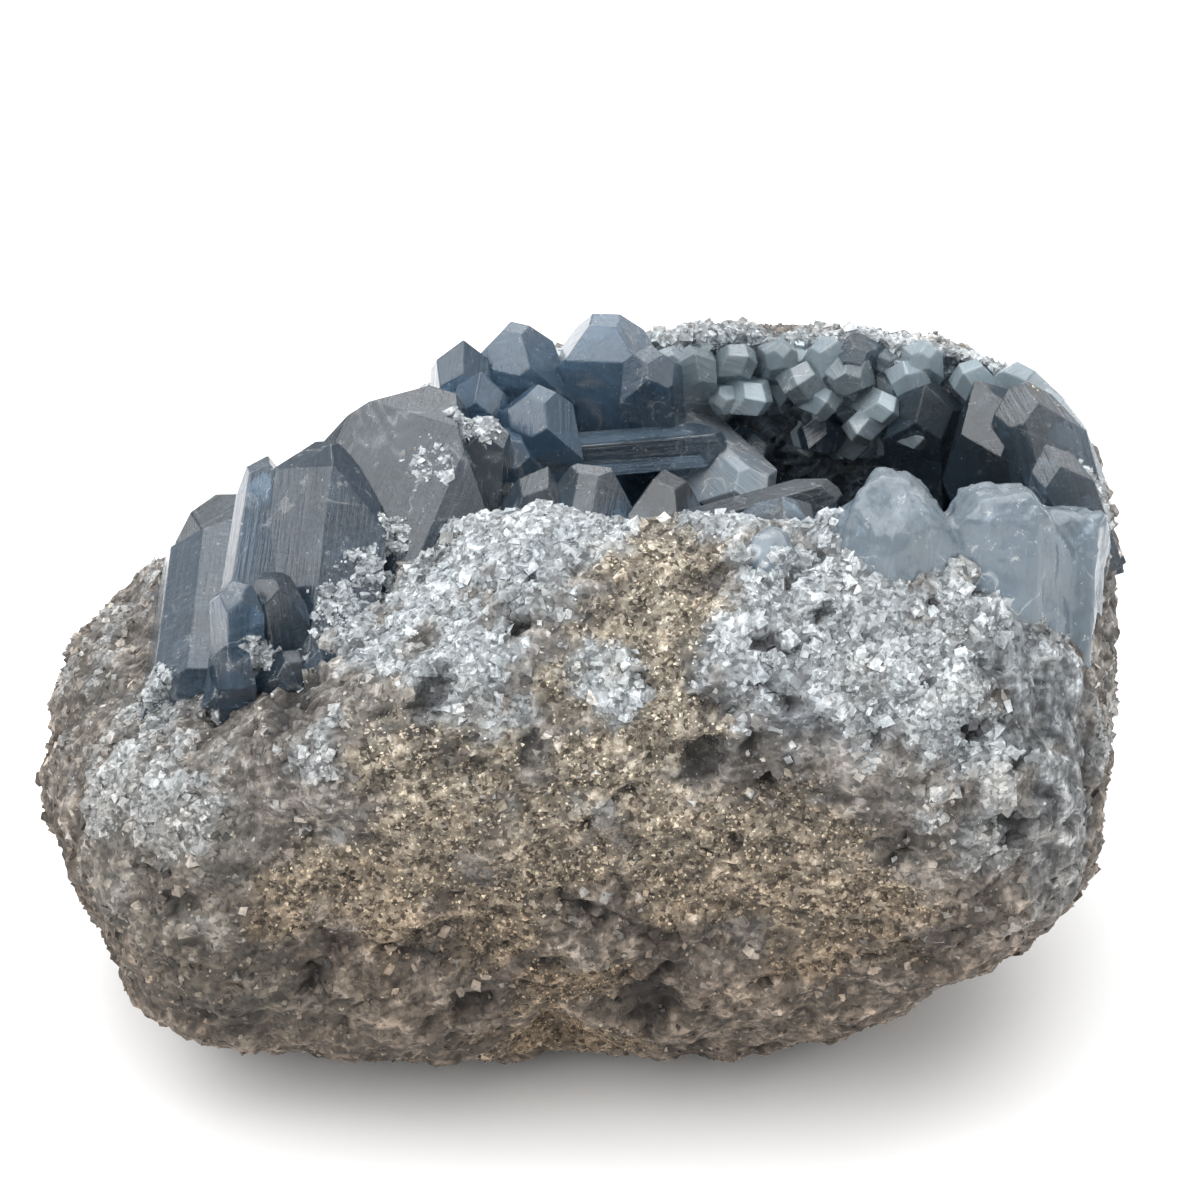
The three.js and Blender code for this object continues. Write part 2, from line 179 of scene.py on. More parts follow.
CORNER = [
    ((44, -42, 72), (45, -33, 111), (-8, 20), 27, 17, 0.92),
    ((27, -42, 77), (27, -37, 103), (-15, 25), 15, 11, 0.9),
    ((61, -38, 70), (61, -32, 110), (5, 12), 26, 14, 0.87),
    ((71, -38, 58), (73, -26, 103), (30, 3), 17, 14, 0.9),
]
HEROES = [
    ((-14, 4, 92), (24, 16, 90), (0, 50), 8.5, 7, 0.97),
    ((8, -28, 92), (40, -16, 96), (0, 60), 10, 8, 0.97),
    ((-4, -28, 74), (2, -3, 97), (-10, 50), 16, 10, 0.9),
    ((-14, -20, 76), (-6, -8, 97), (-30, 30), 13, 9, None),
    ((14, -33, 78), (12, -9, 97), (20, 50), 13, 9, None),
    ((78, 8, 70), (63, 12, 103), (-15, 20), 23, 14, None),
    ((78, -2, 76), (69, 9, 105), (-35, 30), 18, 12, 0.95),
    ((78, -14, 84), (71, -11, 102), (-45, 30), 12, 8, None),
    ((60, 33, 68), (56, 19, 99), (10, 20), 16, 11, None),
]
PALE_PRISM = [((15, 32, 86), (29, 2, 84), (10, 50), 15, 10, 0.95)]
# Stubby ones under the back rim: tip, the way each leans, width
STUBS = [
    ((18, 23, 103), (0, -0.6, 0.8), 12), ((35, 21, 98), (-0.2, -0.9, 0.3), 10),
    ((45, 22, 101), (0.2, -0.8, 0.5), 12), ((45, 19, 90), (-0.3, -0.8, 0.1), 8.5),
    ((53, 21, 100), (-0.2, -0.7, 0.5), 10), ((57, 23, 104), (0.1, -0.6, 0.7), 9),
    ((62, 19, 101), (-0.4, -0.6, 0.5), 10), ((68, 15, 103), (-0.5, -0.5, 0.6), 10),
    ((73, 11, 100), (-0.4, -0.5, 0.6), 10), ((75, 4, 99), (-0.4, -0.2, 0.9), 9),
    ((27, 24, 102), (0.3, -0.7, 0.5), 9), ((33, 26, 103), (0.1, -0.6, 0.7), 9),
    ((42, 26, 104), (0.3, -0.5, 0.8), 9), ((51, 19, 94), (0.2, -0.8, 0.2), 8),
    ((22, 23, 94), (-0.3, -0.8, 0.2), 8), ((30, 21, 95), (0.4, -0.8, 0.2), 9),
    ((40, 21, 95), (0.1, -0.8, 0.4), 8), ((13, 25, 103), (-0.2, -0.5, 0.8), 8),
    ((65, 15, 95), (-0.5, -0.7, 0.3), 8), ((56, 17, 90), (0.2, -0.9, 0.3), 7),
]
STUB_LENGTH, STUB_THICKNESS = 1.45, 0.7  # times the width
# Sugary dust and crumbs of marl caught on the crystals: middle and reach, the pieces they lie
# on, the masks their material reads, and how many places are tried for each grain
DUST = [
    (-24, -9, 97, 4), (-17, -2, 103, 4), (46, -50, 86, 8), (56, -48, 80, 6), (30, -46, 92, 6),
    (-50, -36, 80, 3), (-66, -34, 62, 7), (-58, -40, 62, 6), (-48, -40, 62, 6),
    (-40, -36, 72, 6), (-37, -30, 82, 5), (-68, -30, 70, 4), (-34, -25, 86, 4), (-31, -19, 90, 3),
]
CRUMBS = [(-27, -8, 100, 2.2), (-24, -12, 93, 1.2), (72, 8, 104, 1.5), (75, 6, 102, 1.5)]
DUSTED = ("shoulder_cluster", "corner_cluster", "hollow_druse")
COATS = ("sugar", "marl", "inner", "pit", "green", "blue", "fibre")
SPOTS_PER_GRAIN = 60

# Grains: smallest and largest size, whether they are pointed, and the share that is sunk
SUGAR_GRAIN = (0.45, 2.1, False, 0.3)
STONE_GRAIN = (0.45, 1.9, False, 0.34)
MARL_GRAIN = (0.4, 1.0, True, 0.1)
DUST_GRAIN = (0.3, 1.5, False, 0.25)
CRUMB_GRAIN = (0.3, 0.9, True, 0.0)
GRAIN_SKEW = 2.6  # how much commoner the small ones are
GRAIN_UNEVEN = 0.38  # how far their corners stray
DUST_COUNT, CRUMB_COUNT = 7000, 220
DARK_SHARE, PALE_SHARE = 0.14, 0.16  # of the stone grains
ABOVE_TABLE = 1.5  # lowest height of a grain
GRAIN_LOOK = ("Geode Grains", 0.3, 0.45)  # name, tilt of the facets and grit of the material
STONE_LOOK = ("Geode Stone", 0.75, 1.0)

# Crystals of the hollow's crust: smallest and largest width, after the number of places tried
# for the large ones; the small ones' number is a setting
LARGE_CRUST = (46, 9, 17)
SMALL_CRUST = (4, 10)
CRUST_ROOM = 2.5  # least rock outside a root
# The crust under the back rim: places tried and used, the rows of the sheet that it grows on,
# counted from the rim, and how far back it starts
RIM_TRIES, RIM_MOST = 420, 170
RIM_ROWS, RIM_BACK = (-3, 15), 12
BLUNT = 0.9  # where a blunt tip is cut
GROWTH_STEP = 200.0  # width of each crystal's own strip of the growth map

# Celestite's cell sides set the slopes of its faces: the long side faces, and the end faces
# across the width and across the thickness
CELL_A, CELL_B, CELL_C = 8.359, 5.352, 6.866
PRISM = math.atan2(CELL_B, CELL_C)
CHISEL = math.atan2(CELL_A / 2, CELL_B)
WEDGE = math.atan2(CELL_A, CELL_C)

# Crystals' looks: cover of veils, clearness, colour and density in the depth, streaks
CRYSTAL_LOOKS = {
    "Hollow Crystal": (0.38, 0.88, (0.33, 0.47, 0.60), 45.0, 0.3),
    "Milky Prism": (0.5, 0.5, (0.6, 0.6, 0.62), 40.0, 0.8),
    "Rim Stub": (0.52, 0.62, (0.72, 0.82, 0.88), 20.0, 0.3),
    "Dark Crystal": (0.44, 0.8, (0.30, 0.40, 0.51), 55.0, 0.6),
    "Rim Crystal": (0.46, 0.78, (0.36, 0.50, 0.62), 35.0, 0.3),
    "Pale Crystal": (0.48, 0.55, (0.55, 0.64, 0.70), 45.0, 1.0),
}
DARKER, LIGHTER = 0.7, 1.35  # times the clear colour
MILK = (0.5, 0.5, 0.5)
STUB_CLEAR, STUB_CLOUDY = (0.46, 0.57, 0.64), (0.66, 0.75, 0.80)
CELESTITE_IOR = 1.62

# Colours that stay as they are
PALE_GRAIN, DARK_GRAIN = (0.52, 0.51, 0.50), (0.10, 0.09, 0.085)
PALE_SAND, DARK_SAND = (0.60, 0.56, 0.48), (0.12, 0.09, 0.06)
GREENISH, BLUISH = (0.22, 0.23, 0.215), (0.30, 0.36, 0.42)
BLUE_SNOW, CREAM_SNOW = (0.22, 0.255, 0.28), (0.50, 0.47, 0.42)
DARK_THREAD, PALE_THREAD = (0.13, 0.145, 0.16), (0.46, 0.49, 0.51)
# Painted shade: the hollow's wall is near-black, and painted light makes it paler near the mouth
SHADED_WALL_DARK, SHADED_WALL_PALE = (0.02, 0.028, 0.036), (0.16, 0.21, 0.26)
LIT_MOUTH_DARK, LIT_MOUTH_PALE = (0.20, 0.25, 0.29), (0.50, 0.57, 0.62)
# The first colour below paints shade: near-black in pits, pores, creases and the lowest relief; it is
# also the dark grains' own colour
# The second colour below paints shade: the stone darker towards the bottom, with a browner tone there too
PIT_SHADE_AND_DARK_GRAIN, LOW_SHADE_AND_WARMTH, UNTINTED = (0.035, 0.035, 0.038), (0.56, 0.475, 0.40), (1, 1, 1)
FLECK = (0.88, 0.93, 0.96)

# Lamps: place, width and power
LAMPS = {
    "key": ((-0.75, -0.50, 1.30), 2.0, 34.0),
    "top": ((0.25, 0.60, 1.20), 1.6, 17.0),
    "fill": ((1.20, -0.70, 0.70), 1.2, 5.0),
}
LAMP_AIM = (0.0, 0.0, 0.05)
SKY = 0.6  # strength of the even light all round
FLOOR_HALF = 3000.0
PHOTO_PIXELS = 1200
AIM = (13, 100)  # the photo's middle from the geode's, in its pixels to the right and up
SENSOR = 36.0


def towards(azimuth, elevation):
    """Unit vectors at azimuths from the front (-Y) towards +X, and elevations, in degrees."""
    a, e = np.radians(azimuth), np.radians(elevation)
    return np.stack([np.sin(a) * np.cos(e), -np.cos(a) * np.cos(e), np.sin(e) + 0 * a], -1)


def unit(v):
    """v with each row at length 1."""
    return v / np.maximum(np.linalg.norm(v, axis=-1, keepdims=True), 1e-12)


def smooth(x, low, high):
    """0 below low, 1 above high, an S-curve between them."""
    t = np.clip((x - low) / (high - low), 0, 1)
    return t * t * (3 - 2 * t)


def scatter(i, j, k):
    """A repeatable number from 0 to 1 for three numbers: the fraction of a large sine."""
    s = np.sin(i * 127.1 + j * 311.7 + k * 74.7) * 43758.5453
    return s - np.floor(s)


def noise(p):
    """Smooth noise from -1 to 1: scatter at the eight whole-number corners, blended by S-curves."""
    cell = np.floor(p)
    f = p - cell
    f = f * f * (3 - 2 * f)
    total = np.zeros(p.shape[:-1])
    for corner in itertools.product((0, 1), repeat=3):
        share = np.prod(np.where(corner, f, 1 - f), axis=-1)
        total += share * scatter(*np.moveaxis(cell + corner, -1, 0))
    return 2 * total - 1


def cells(p):
    """Distance to the nearest of one point per unit cube, and that point's number from 0 to 1."""
    base = np.floor(p)
    near = np.full(p.shape[:-1], 9.0)
    own = np.zeros(p.shape[:-1])
    for step in itertools.product((-1, 0, 1), repeat=3):
        c = base + step
        x, y, z = np.moveaxis(c, -1, 0)
        where = np.stack([scatter(x, y, z), scatter(y + 31, z, x), scatter(z, x + 17, y)], -1)
        d = np.linalg.norm(p - c - where, axis=-1)
        closer = d < near
        near = np.where(closer, d, near)
        own = np.where(closer, scatter(x + 5, y + 9, z + 2), own)
    return near, own


def layered(p, layers, total=0.0):
    """total plus the noise of each layer: its height times the noise at its size and shift."""
    for height, size, shift in layers:
        total = total + height * noise(p / size + shift)
    return total


def rock_radius(way):
    """Distance from the heart to the rock's skin: the flats as a soft-edged body (a high power
    mean of how far each is reached), plus bell-shaped lumps, plus three sizes of noise."""
    flats = np.array(FLATS, float)
    normals = towards(flats[:, 0], flats[:, 1]) / flats[:, 2:]
    radius = (np.maximum(0, way @ normals.T) ** ROUNDING).sum(-1) ** (-1 / ROUNDING)
    for azimuth, elevation, width, height in LUMPS:
        cosine = np.clip(way @ towards(azimuth, elevation), -1, 1)
        angle = np.arccos(cosine) / math.radians(width)
        radius = radius + height * np.exp(-angle * angle)
    return layered(way * radius[..., None], SKIN_NOISE, radius)


def room(p):
    """How far points lie inside the rock's skin."""
    out = p - HEART
    return rock_radius(unit(out)) - np.linalg.norm(out, axis=-1)


def hollow_radius(way):
    """Distance from the hollow's middle to its wall: a rounded box with uneven sides."""
    n = HOLLOW_SQUARENESS
    radius = (np.abs(way / HOLLOW_HALF) ** n).sum(-1) ** (-1 / n)
    return layered(way * radius[..., None], WALL_NOISE, radius)


def outside_hollow(p):
    """How far points lie outside the hollow's wall; negative inside it."""
    q = p - HOLLOW_CENTRE
    return np.linalg.norm(q, axis=-1) - hollow_radius(unit(q))


def rim_elevation(flat):
    """For level directions, the elevation from the heart at which the skin meets the hollow,
    found by halving."""
    low, high = np.zeros(len(flat)), np.full(len(flat), math.pi / 2)
    for _ in range(HALVINGS):
        mid = (low + high) / 2
        way = np.c_[flat * np.cos(mid)[:, None], np.sin(mid)]
        out = outside_hollow(HEART + way * rock_radius(way)[:, None]) > 0
        low, high = np.where(out, mid, low), np.where(out, high, mid)
    return low


def crease_depth(p):
    """1 along the creases of the front, falling to 0 a millimetre from their wavering lines; and
    the same for the swelling round each, over five millimetres."""
    q = p[..., ::2] + 1.6 * np.stack([noise(p / 6 + 4), noise(p / 6 + 8)], -1)
    near = np.full(p.shape[:-1], 99.0)
    for line in CREASES:
        for a, b in itertools.pairwise(np.array(line, float)):
            t = np.clip((q - a) @ (b - a) / ((b - a) @ (b - a)), 0, 1)
            near = np.minimum(near, np.linalg.norm(q - a - t[..., None] * (b - a), axis=-1))
    front = smooth(-p[..., 1], 20, 35)
    front = front * smooth(noise(p / 5 + 12), -0.35, 0.25)
    return front * (1 - smooth(near, 0.1, 0.9)), front * (1 - smooth(near, 0.5, 5.0))


def zone(p, patches, fray, size):
    """1 inside the patches, 0 outside, with a border frayed by noise of that size."""
    best = np.full(p.shape[:-1], -9.0)
    for x, y, z, reach in patches:
        best = np.maximum(best, 1 - np.linalg.norm(p - (x, y, z), axis=-1) / reach)
    best = best + fray * noise(p / size) + fray * 0.7 * noise(p / size * 2.7 + 4)
    return smooth(best, -0.25, 0.35)


def bare_sheet(columns, outer_rows, hollow_rows):
    """The skin and the hollow's wall as rows of points. Each column runs from under the middle,
    up the skin to the rim, and down the wall to the hollow's floor. The rows near the rim are
    averaged with their neighbours a few times, so the rim is round."""
    t = np.linspace(0, 2 * math.pi, columns, endpoint=False)
    flat = unit(np.c_[HALF[0] * np.cos(t), HALF[1] * np.sin(t)])
    s = np.interp(np.linspace(0, 1, outer_rows + 1)[1:], *ROW_SPREAD)
    e = -math.pi / 2 + s[:, None] * (rim_elevation(flat) + math.pi / 2)
    way = np.concatenate([flat * np.cos(e)[..., None], np.sin(e)[..., None]], -1)
    skin = HEART + way * rock_radius(way)[..., None]
    rim = skin[-1] - HOLLOW_CENTRE
    side = unit(rim[:, :2])
    polar = np.arctan2(np.linalg.norm(rim[:, :2], axis=1), -rim[:, 2])
    polar = np.linspace(1, 0, hollow_rows + 1)[1:-1, None] * polar
    way = np.concatenate([side * np.sin(polar)[..., None], -np.cos(polar)[..., None]], -1)
    wall = HOLLOW_CENTRE + way * hollow_radius(way)[..., None]
    p = np.concatenate([skin, wall])
    a, b = outer_rows - 1 - RIM_REACH, outer_rows + RIM_REACH
    for _ in range(RIM_ROUNDS):
        p[a:b] = p[a:b] / 2 + (p[a - 1:b - 1] + p[a + 1:b + 1]) / 4
    return p


def past_rim(p, rim_row):
    """How far each point lies past the rim along its column; negative on the skin."""
    step = np.linalg.norm(np.diff(p, axis=0), axis=-1)
    along = np.concatenate([np.zeros((1, p.shape[1])), np.cumsum(step, axis=0)])
    return along - along[rim_row]


def coats(p, to_rim):
    """Where the sheet is sugar, marl, the hollow's inner wall, pits, pores, fibres and gashes:
    the placed patches, a sugary crest along the rim, and patches where noise is high."""
    fray = layered(p, FRAY)
    inner = smooth(to_rim + fray * 0.4, -1, 3)
    crest = smooth(to_rim + fray, -9, -3) * (1 - smooth(to_rim, 6, 16))
    back = smooth(p[..., 1], -5, 20)
    upper = smooth(p[..., 2], 20, 60)
    marl = zone(p, MARL, 0.45, 6.0)
    sugar = np.maximum(zone(p, SUGAR, 0.5, 5.0), crest * (1 - 0.9 * marl))
    sugar = np.maximum(sugar, back * smooth(layered(p, BACK_SUGAR), 0.25, 0.6))
    loose = 0.8 * smooth(layered(p, LOOSE_SUGAR), 0.25, 0.8)
    sugar = np.maximum(sugar, loose * upper * (1 - marl))
    marl = np.clip(marl - 0.7 * sugar, 0, 1) * (1 - inner)
    pits = zone(p, PITS, 0.5, 3.0) * (1 - inner)
    pores = smooth(layered(p, PORES), 0.62, 0.95) * (1 - inner) * (1 - 0.6 * marl)
    fibre = zone(p, FIBRES, 0.35, 5.0) * (1 - inner)
    gash = fibre * smooth(noise(p / (3.2, 3.2, 30) + 5), 0.3, 0.6)
    return sugar, marl, inner, pits, pores, fibre, gash


def rock_surface(columns, outer_rows, hollow_rows):
    """The stone's sheet with its relief: noise, round grain, fibres, layers in the marl, pits,
    creases with a swelling round each, and low steps, all along the sheet's normals. The part
    under the table's height is pressed flat. Returns points, normals, masks and distances past
    the rim."""
    p = bare_sheet(columns, outer_rows, hollow_rows)
    to_rim = past_rim(p, outer_rows - 1)
    sugar, marl, inner, pits, pores, fibre, gash = coats(p, to_rim)
    knob, _ = cells(p / KNOB)
    bead, tint = cells(p / BEAD + 8)
    crease, swelling = crease_depth(p)
    grain = 1.1 * (0.5 - knob) + 0.7 * (0.45 - bead)
    height = layered(p, ROUGH_NOISE)
    height += (1 - 0.75 * marl - 0.9 * fibre * (1 - marl)) * grain
    height += fibre * layered(p, FIBRE_NOISE) - 1.2 * gash
    height += marl * (0.55 * noise(p / (16, 16, 1.9) + 3) - 0.5)
    height += 0.5 * sugar - 2.6 * pits - 1.6 * pores - 0.5 - 1.1 * crease + 0.6 * swelling
    step = smooth(noise(p / (24, 24, 5) + 9), -0.1, 0.1)
    height += (1 - inner) * 0.9 * step * smooth(-p[..., 2], -60, -40)
    p = p + sheet_normals(p) * (height * smooth(p[..., 2], -0.5, 3.0))[..., None]
    p[..., 2] = np.maximum(p[..., 2], 0.0)
    # Painted shade: near-black in the pits, pores, creases and the lowest relief
    deep = pits + pores * (1 - fibre) + 0.6 * crease + smooth(-height, 0.9, 2.6)
    masks = {
        "sugar": sugar, "marl": marl, "inner": inner, "tint": tint,
        "pit": np.clip(deep, 0, 1), "fibre": np.maximum(fibre - gash, 0),
        "green": zone(p, GREEN, 0.4, 6.0), "blue": zone(p, BLUE, 0.4, 5.0),
        # How high the relief is; the material paints shade in its low parts and light on its raised parts
        "high": smooth(height, -0.6, 1.6),
    }
    return p, sheet_normals(p), masks, to_rim


def sheet_normals(p):
    """Outward normals of a sheet that is closed across its columns: the cross product of the
    steps to the neighbours along the two ways."""
    across = np.roll(p, -1, axis=1) - np.roll(p, 1, axis=1)
    along = np.gradient(p, axis=0)
    return unit(np.cross(across, along))


def mesh_object(name, points, faces, sizes, material, shade_smooth=False, attributes=None):
    """A mesh object from points in millimetres, a flat array of corner numbers and the number
    of corners of each face. attributes are numbers per point."""
    mesh = bpy.data.meshes.new(name)
    points = (np.asarray(points, float) + TO_MIDDLE) * MM
    mesh.vertices.add(len(points))
    mesh.vertices.foreach_set("co", points.astype(np.float32).ravel())
    mesh.loops.add(len(faces))
    mesh.loops.foreach_set("vertex_index", np.asarray(faces, np.int32))
    mesh.polygons.add(len(sizes))
    starts = np.concatenate([[0], np.cumsum(sizes)[:-1]]).astype(np.int32)
    mesh.polygons.foreach_set("loop_start", starts)
    mesh.update(calc_edges=True)
    mesh.validate()
    for key, values in (attributes or {}).items():
        layer = mesh.attributes.new(key, "FLOAT", "POINT")
        layer.data.foreach_set("value", np.asarray(values, np.float32).ravel())
    mesh.polygons.foreach_set("use_smooth", np.full(len(sizes), shade_smooth))
    mesh.materials.append(material)
    obj = bpy.data.objects.new(name, mesh)
    bpy.context.collection.objects.link(obj)
    return obj


def sheet_faces(rows, columns):
    """Corner numbers of a sheet closed across its columns, with one more point at each end, and
    the number of corners of each face."""
    k = np.arange(columns)
    n = (k + 1) % columns
    start = np.arange(rows - 1)[:, None] * columns
    quads = np.stack([start + k, start + n, start + n + columns, start + k + columns], -1)
    last = (rows - 1) * columns
    low = np.stack([np.full(columns, rows * columns), n, k], -1)
    high = np.stack([last + k, last + n, np.full(columns, rows * columns + 1)], -1)
    sizes = np.concatenate([np.full(last, 4), np.full(2 * columns, 3)])
    return np.concatenate([quads.ravel(), low.ravel(), high.ravel()]), sizes


def random_turns(rng, count):
    """Evenly random rotations, as matrices, from four bell-shaped numbers each."""
    w, x, y, z = unit(rng.normal(size=(count, 4))).T
    return np.stack([
        1 - 2 * (y * y + z * z), 2 * (x * y - z * w), 2 * (x * z + y * w),
        2 * (x * y + z * w), 1 - 2 * (x * x + z * z), 2 * (y * z - x * w),
        2 * (x * z - y * w), 2 * (y * z + x * w), 1 - 2 * (x * x + y * y),
    ], -1).reshape(-1, 3, 3)


# The two bodies of a grain, and their triangles
BLOCK = np.array(list(itertools.product((-1, 1), repeat=3)), float)
BLOCK_FACES = np.array([
    0, 1, 3, 0, 3, 2, 4, 6, 7, 4, 7, 5, 0, 4, 5, 0, 5, 1,
    2, 3, 7, 2, 7, 6, 0, 2, 6, 0, 6, 4, 1, 5, 7, 1, 7, 3,
])
POINT = np.array([(1, 0, 0), (-1, 0, 0), (0, 1, 0), (0, -1, 0), (0, 0, 1.3), (0, 0, -1.3)])
POINT_FACES = np.array([0, 2, 4, 2, 1, 4, 1, 3, 4, 3, 0, 4, 2, 0, 5, 1, 2, 5, 3, 1, 5, 0, 3, 5])


def grains(name, spots, kind, material, rng):
    """One closed grain per spot: a block or a double pyramid with its own size, sides, turn and
    uneven corners, part sunk in the stone. Low on the stone they have a share of the size."""
    place, normals, marks = spots
    low, high, pointed, sunk = kind
    shape, faces = (POINT, POINT_FACES) if pointed else (BLOCK, BLOCK_FACES)
    count, k = len(place), len(shape)
    share = 0.25 + 0.75 * smooth(place[:, 2], 8, 45)
    size = low + (high - low) * rng.random(count) ** GRAIN_SKEW * share
    sides = size[:, None] * rng.uniform(0.55, 1.15, (count, 3)) / 2
    stray = rng.uniform(-GRAIN_UNEVEN, GRAIN_UNEVEN, (count, k, 3))
    body = (shape + stray) * sides[:, None, :]
    body = np.einsum("nij,nkj->nki", random_turns(rng, count), body)
    body = body + (place - normals * (sunk * size)[:, None])[:, None, :]
    index = faces + np.arange(count)[:, None] * k
    sizes = np.full(count * len(faces) // 3, 3)
    marks["tint"] = rng.random(count)
    marks["high"] = rng.uniform(0.55, 1.0, count)
    marks = {key: np.repeat(value, k) for key, value in marks.items()}
    body, index = body.reshape(-1, 3), index.reshape(-1)
    return mesh_object(name, body, index, sizes, material, False, marks)


def pick_spots(sheet, weight, count, rng):
    """Random places on a sheet, as likely as weight times area, with their normals and masks."""
    p, n, masks, _ = sheet
    du = np.roll(p, -1, axis=1) - p
    dv = np.diff(p, axis=0)
    area = np.linalg.norm(np.cross(du[:-1], dv), axis=-1)
    chance = (weight[:-1] * area).ravel()
    chosen = rng.choice(len(chance), count, p=chance / chance.sum())
    row, column = np.divmod(chosen, p.shape[1])
    u, v = rng.random((2, count, 1))
    spot = p[row, column] + u * du[row, column] + v * dv[row, column]
    return spot, n[row, column], {key: mask[row, column] for key, mask in masks.items()}


# Each crystal takes the next number
CRYSTAL_NUMBERS = itertools.count()


def habit(length, width, thick, cut, depth):
    """A crystal's faces as rows of a direction (along, across, through) and a distance."""
    faces = [(-1, 0, 0, depth)]
    if cut:
        faces += [(0, 0, 1, thick / 2), (0, 0, -1, thick / 2), (1, 0, 0, length * cut)]
    for side in (1, -1):
        for flip in (1, -1):
            across = side * math.sin(PRISM)
            faces.append((0, across, flip * math.cos(PRISM), width / 2 * math.sin(PRISM)))
        faces.append((math.sin(CHISEL), side * math.cos(CHISEL), 0, length * math.sin(CHISEL)))
        faces.append((math.cos(WEDGE), 0, side * math.sin(WEDGE), length * math.cos(WEDGE)))
    return np.array(faces)


def crystal(root, tip, face, width, thick, cut=None, depth=3.0, edge=0.25):
    """One crystal as a mesh object: the space inside its faces, with fine bevelled edges. Its
    corners are where three faces meet and no other cuts them off."""
    root, tip = np.array(root, float), np.array(tip, float)
    along = tip - root
    length = np.linalg.norm(along)
    along = along / length
    facing = towards(*face)
    through = unit(facing - along * (facing @ along))
    across = np.cross(through, along)
    planes = habit(length, width, thick, cut, depth)
    normals = planes[:, :3] @ np.stack([along, across, through])
    triples = np.array(list(itertools.combinations(range(len(planes)), 3)))
    sets = normals[triples]
    sound = np.abs(np.linalg.det(sets)) > 1e-4
    corners = np.linalg.solve(sets[sound], planes[triples[sound], 3][..., None])[..., 0]
    corners = corners[(corners @ normals.T < planes[:, 3] + 1e-4).all(1)]
    bm = bmesh.new()
    for c in np.unique(corners.round(4), axis=0):
        bm.verts.new(c)
    bmesh.ops.remove_doubles(bm, verts=bm.verts, dist=1e-3)
    bmesh.ops.convex_hull(bm, input=bm.verts)
    loose = [v for v in bm.verts if not v.link_faces]
    bmesh.ops.delete(bm, geom=loose, context="VERTS")
    bmesh.ops.dissolve_limit(bm, angle_limit=0.02, verts=bm.verts, edges=bm.edges)
    bmesh.ops.bevel(
        bm, geom=bm.edges[:], offset=edge, segments=2, profile=0.6, affect="EDGES",
        clamp_overlap=True,
    )
    bmesh.ops.recalc_face_normals(bm, faces=bm.faces)
    growth = bm.loops.layers.uv.new("Growth")
    own = GROWTH_STEP * next(CRYSTAL_NUMBERS)
    for f in bm.faces:
        for corner in f.loops:
            p = np.array(corner.vert.co)
            corner[growth].uv = (own + p @ across + 0.7 * (p @ through), p @ along)
    for v in bm.verts:
        v.co = Vector((np.array(v.co) + root + TO_MIDDLE) * MM)
    mesh = bpy.data.meshes.new("crystal")
    bm.to_mesh(mesh)
    bm.free()
    obj = bpy.data.objects.new("crystal", mesh)
    bpy.context.collection.objects.link(obj)
    return obj


def grown_together(name, crystals, material):
    """Joins crystals into one closed solid."""
    base = crystals[0]
    for other in crystals[1:]:
        join = base.modifiers.new("join", "BOOLEAN")
        join.operation = "UNION"
        join.solver = "MANIFOLD"
        join.object = other
    graph = bpy.context.evaluated_depsgraph_get()
    mesh = bpy.data.meshes.new_from_object(base.evaluated_get(graph))
    for c in crystals:
        old = c.data
        bpy.data.objects.remove(c)
        bpy.data.meshes.remove(old)
    mesh.name = name
    mesh.materials.clear()
    mesh.materials.append(material)
    mesh.polygons.foreach_set("use_smooth", np.zeros(len(mesh.polygons), bool))
    obj = bpy.data.objects.new(name, mesh)
    bpy.context.collection.objects.link(obj)
    return obj


def mesh_numbers(items, key, width=3, kind=float):
    """One property of each item of a mesh, as rows."""
    values = np.empty(len(items) * width, kind)
    items.foreach_get(key, values)
    return values.reshape(-1, width)


def etched(obj, voxel):
    """Turns a crystal body into one even skin and wears it: its points move along their normals
    by noises that are drawn out along the height, like fibres."""
    skin = obj.modifiers.new("skin", "REMESH")
    skin.mode = "VOXEL"
    skin.voxel_size = voxel * MM
    graph = bpy.context.evaluated_depsgraph_get()
    mesh = bpy.data.meshes.new_from_object(obj.evaluated_get(graph))
    obj.modifiers.clear()
    p = mesh_numbers(mesh.vertices, "co") / MM
    wear = layered(p, WEAR_NOISE)
    wear += 0.5 * smooth(noise(p / 3.5 + 7), 0.1, 0.5) * noise(p / 1.2) - 0.3
    p = p + mesh_numbers(mesh.vertex_normals, "vector") * wear[:, None]
    mesh.vertices.foreach_set("co", (p * MM).astype(np.float32).ravel())
    mesh.polygons.foreach_set("use_smooth", np.ones(len(mesh.polygons), bool))
    mesh.update()
    old = obj.data
    obj.data = mesh
    bpy.data.meshes.remove(old)


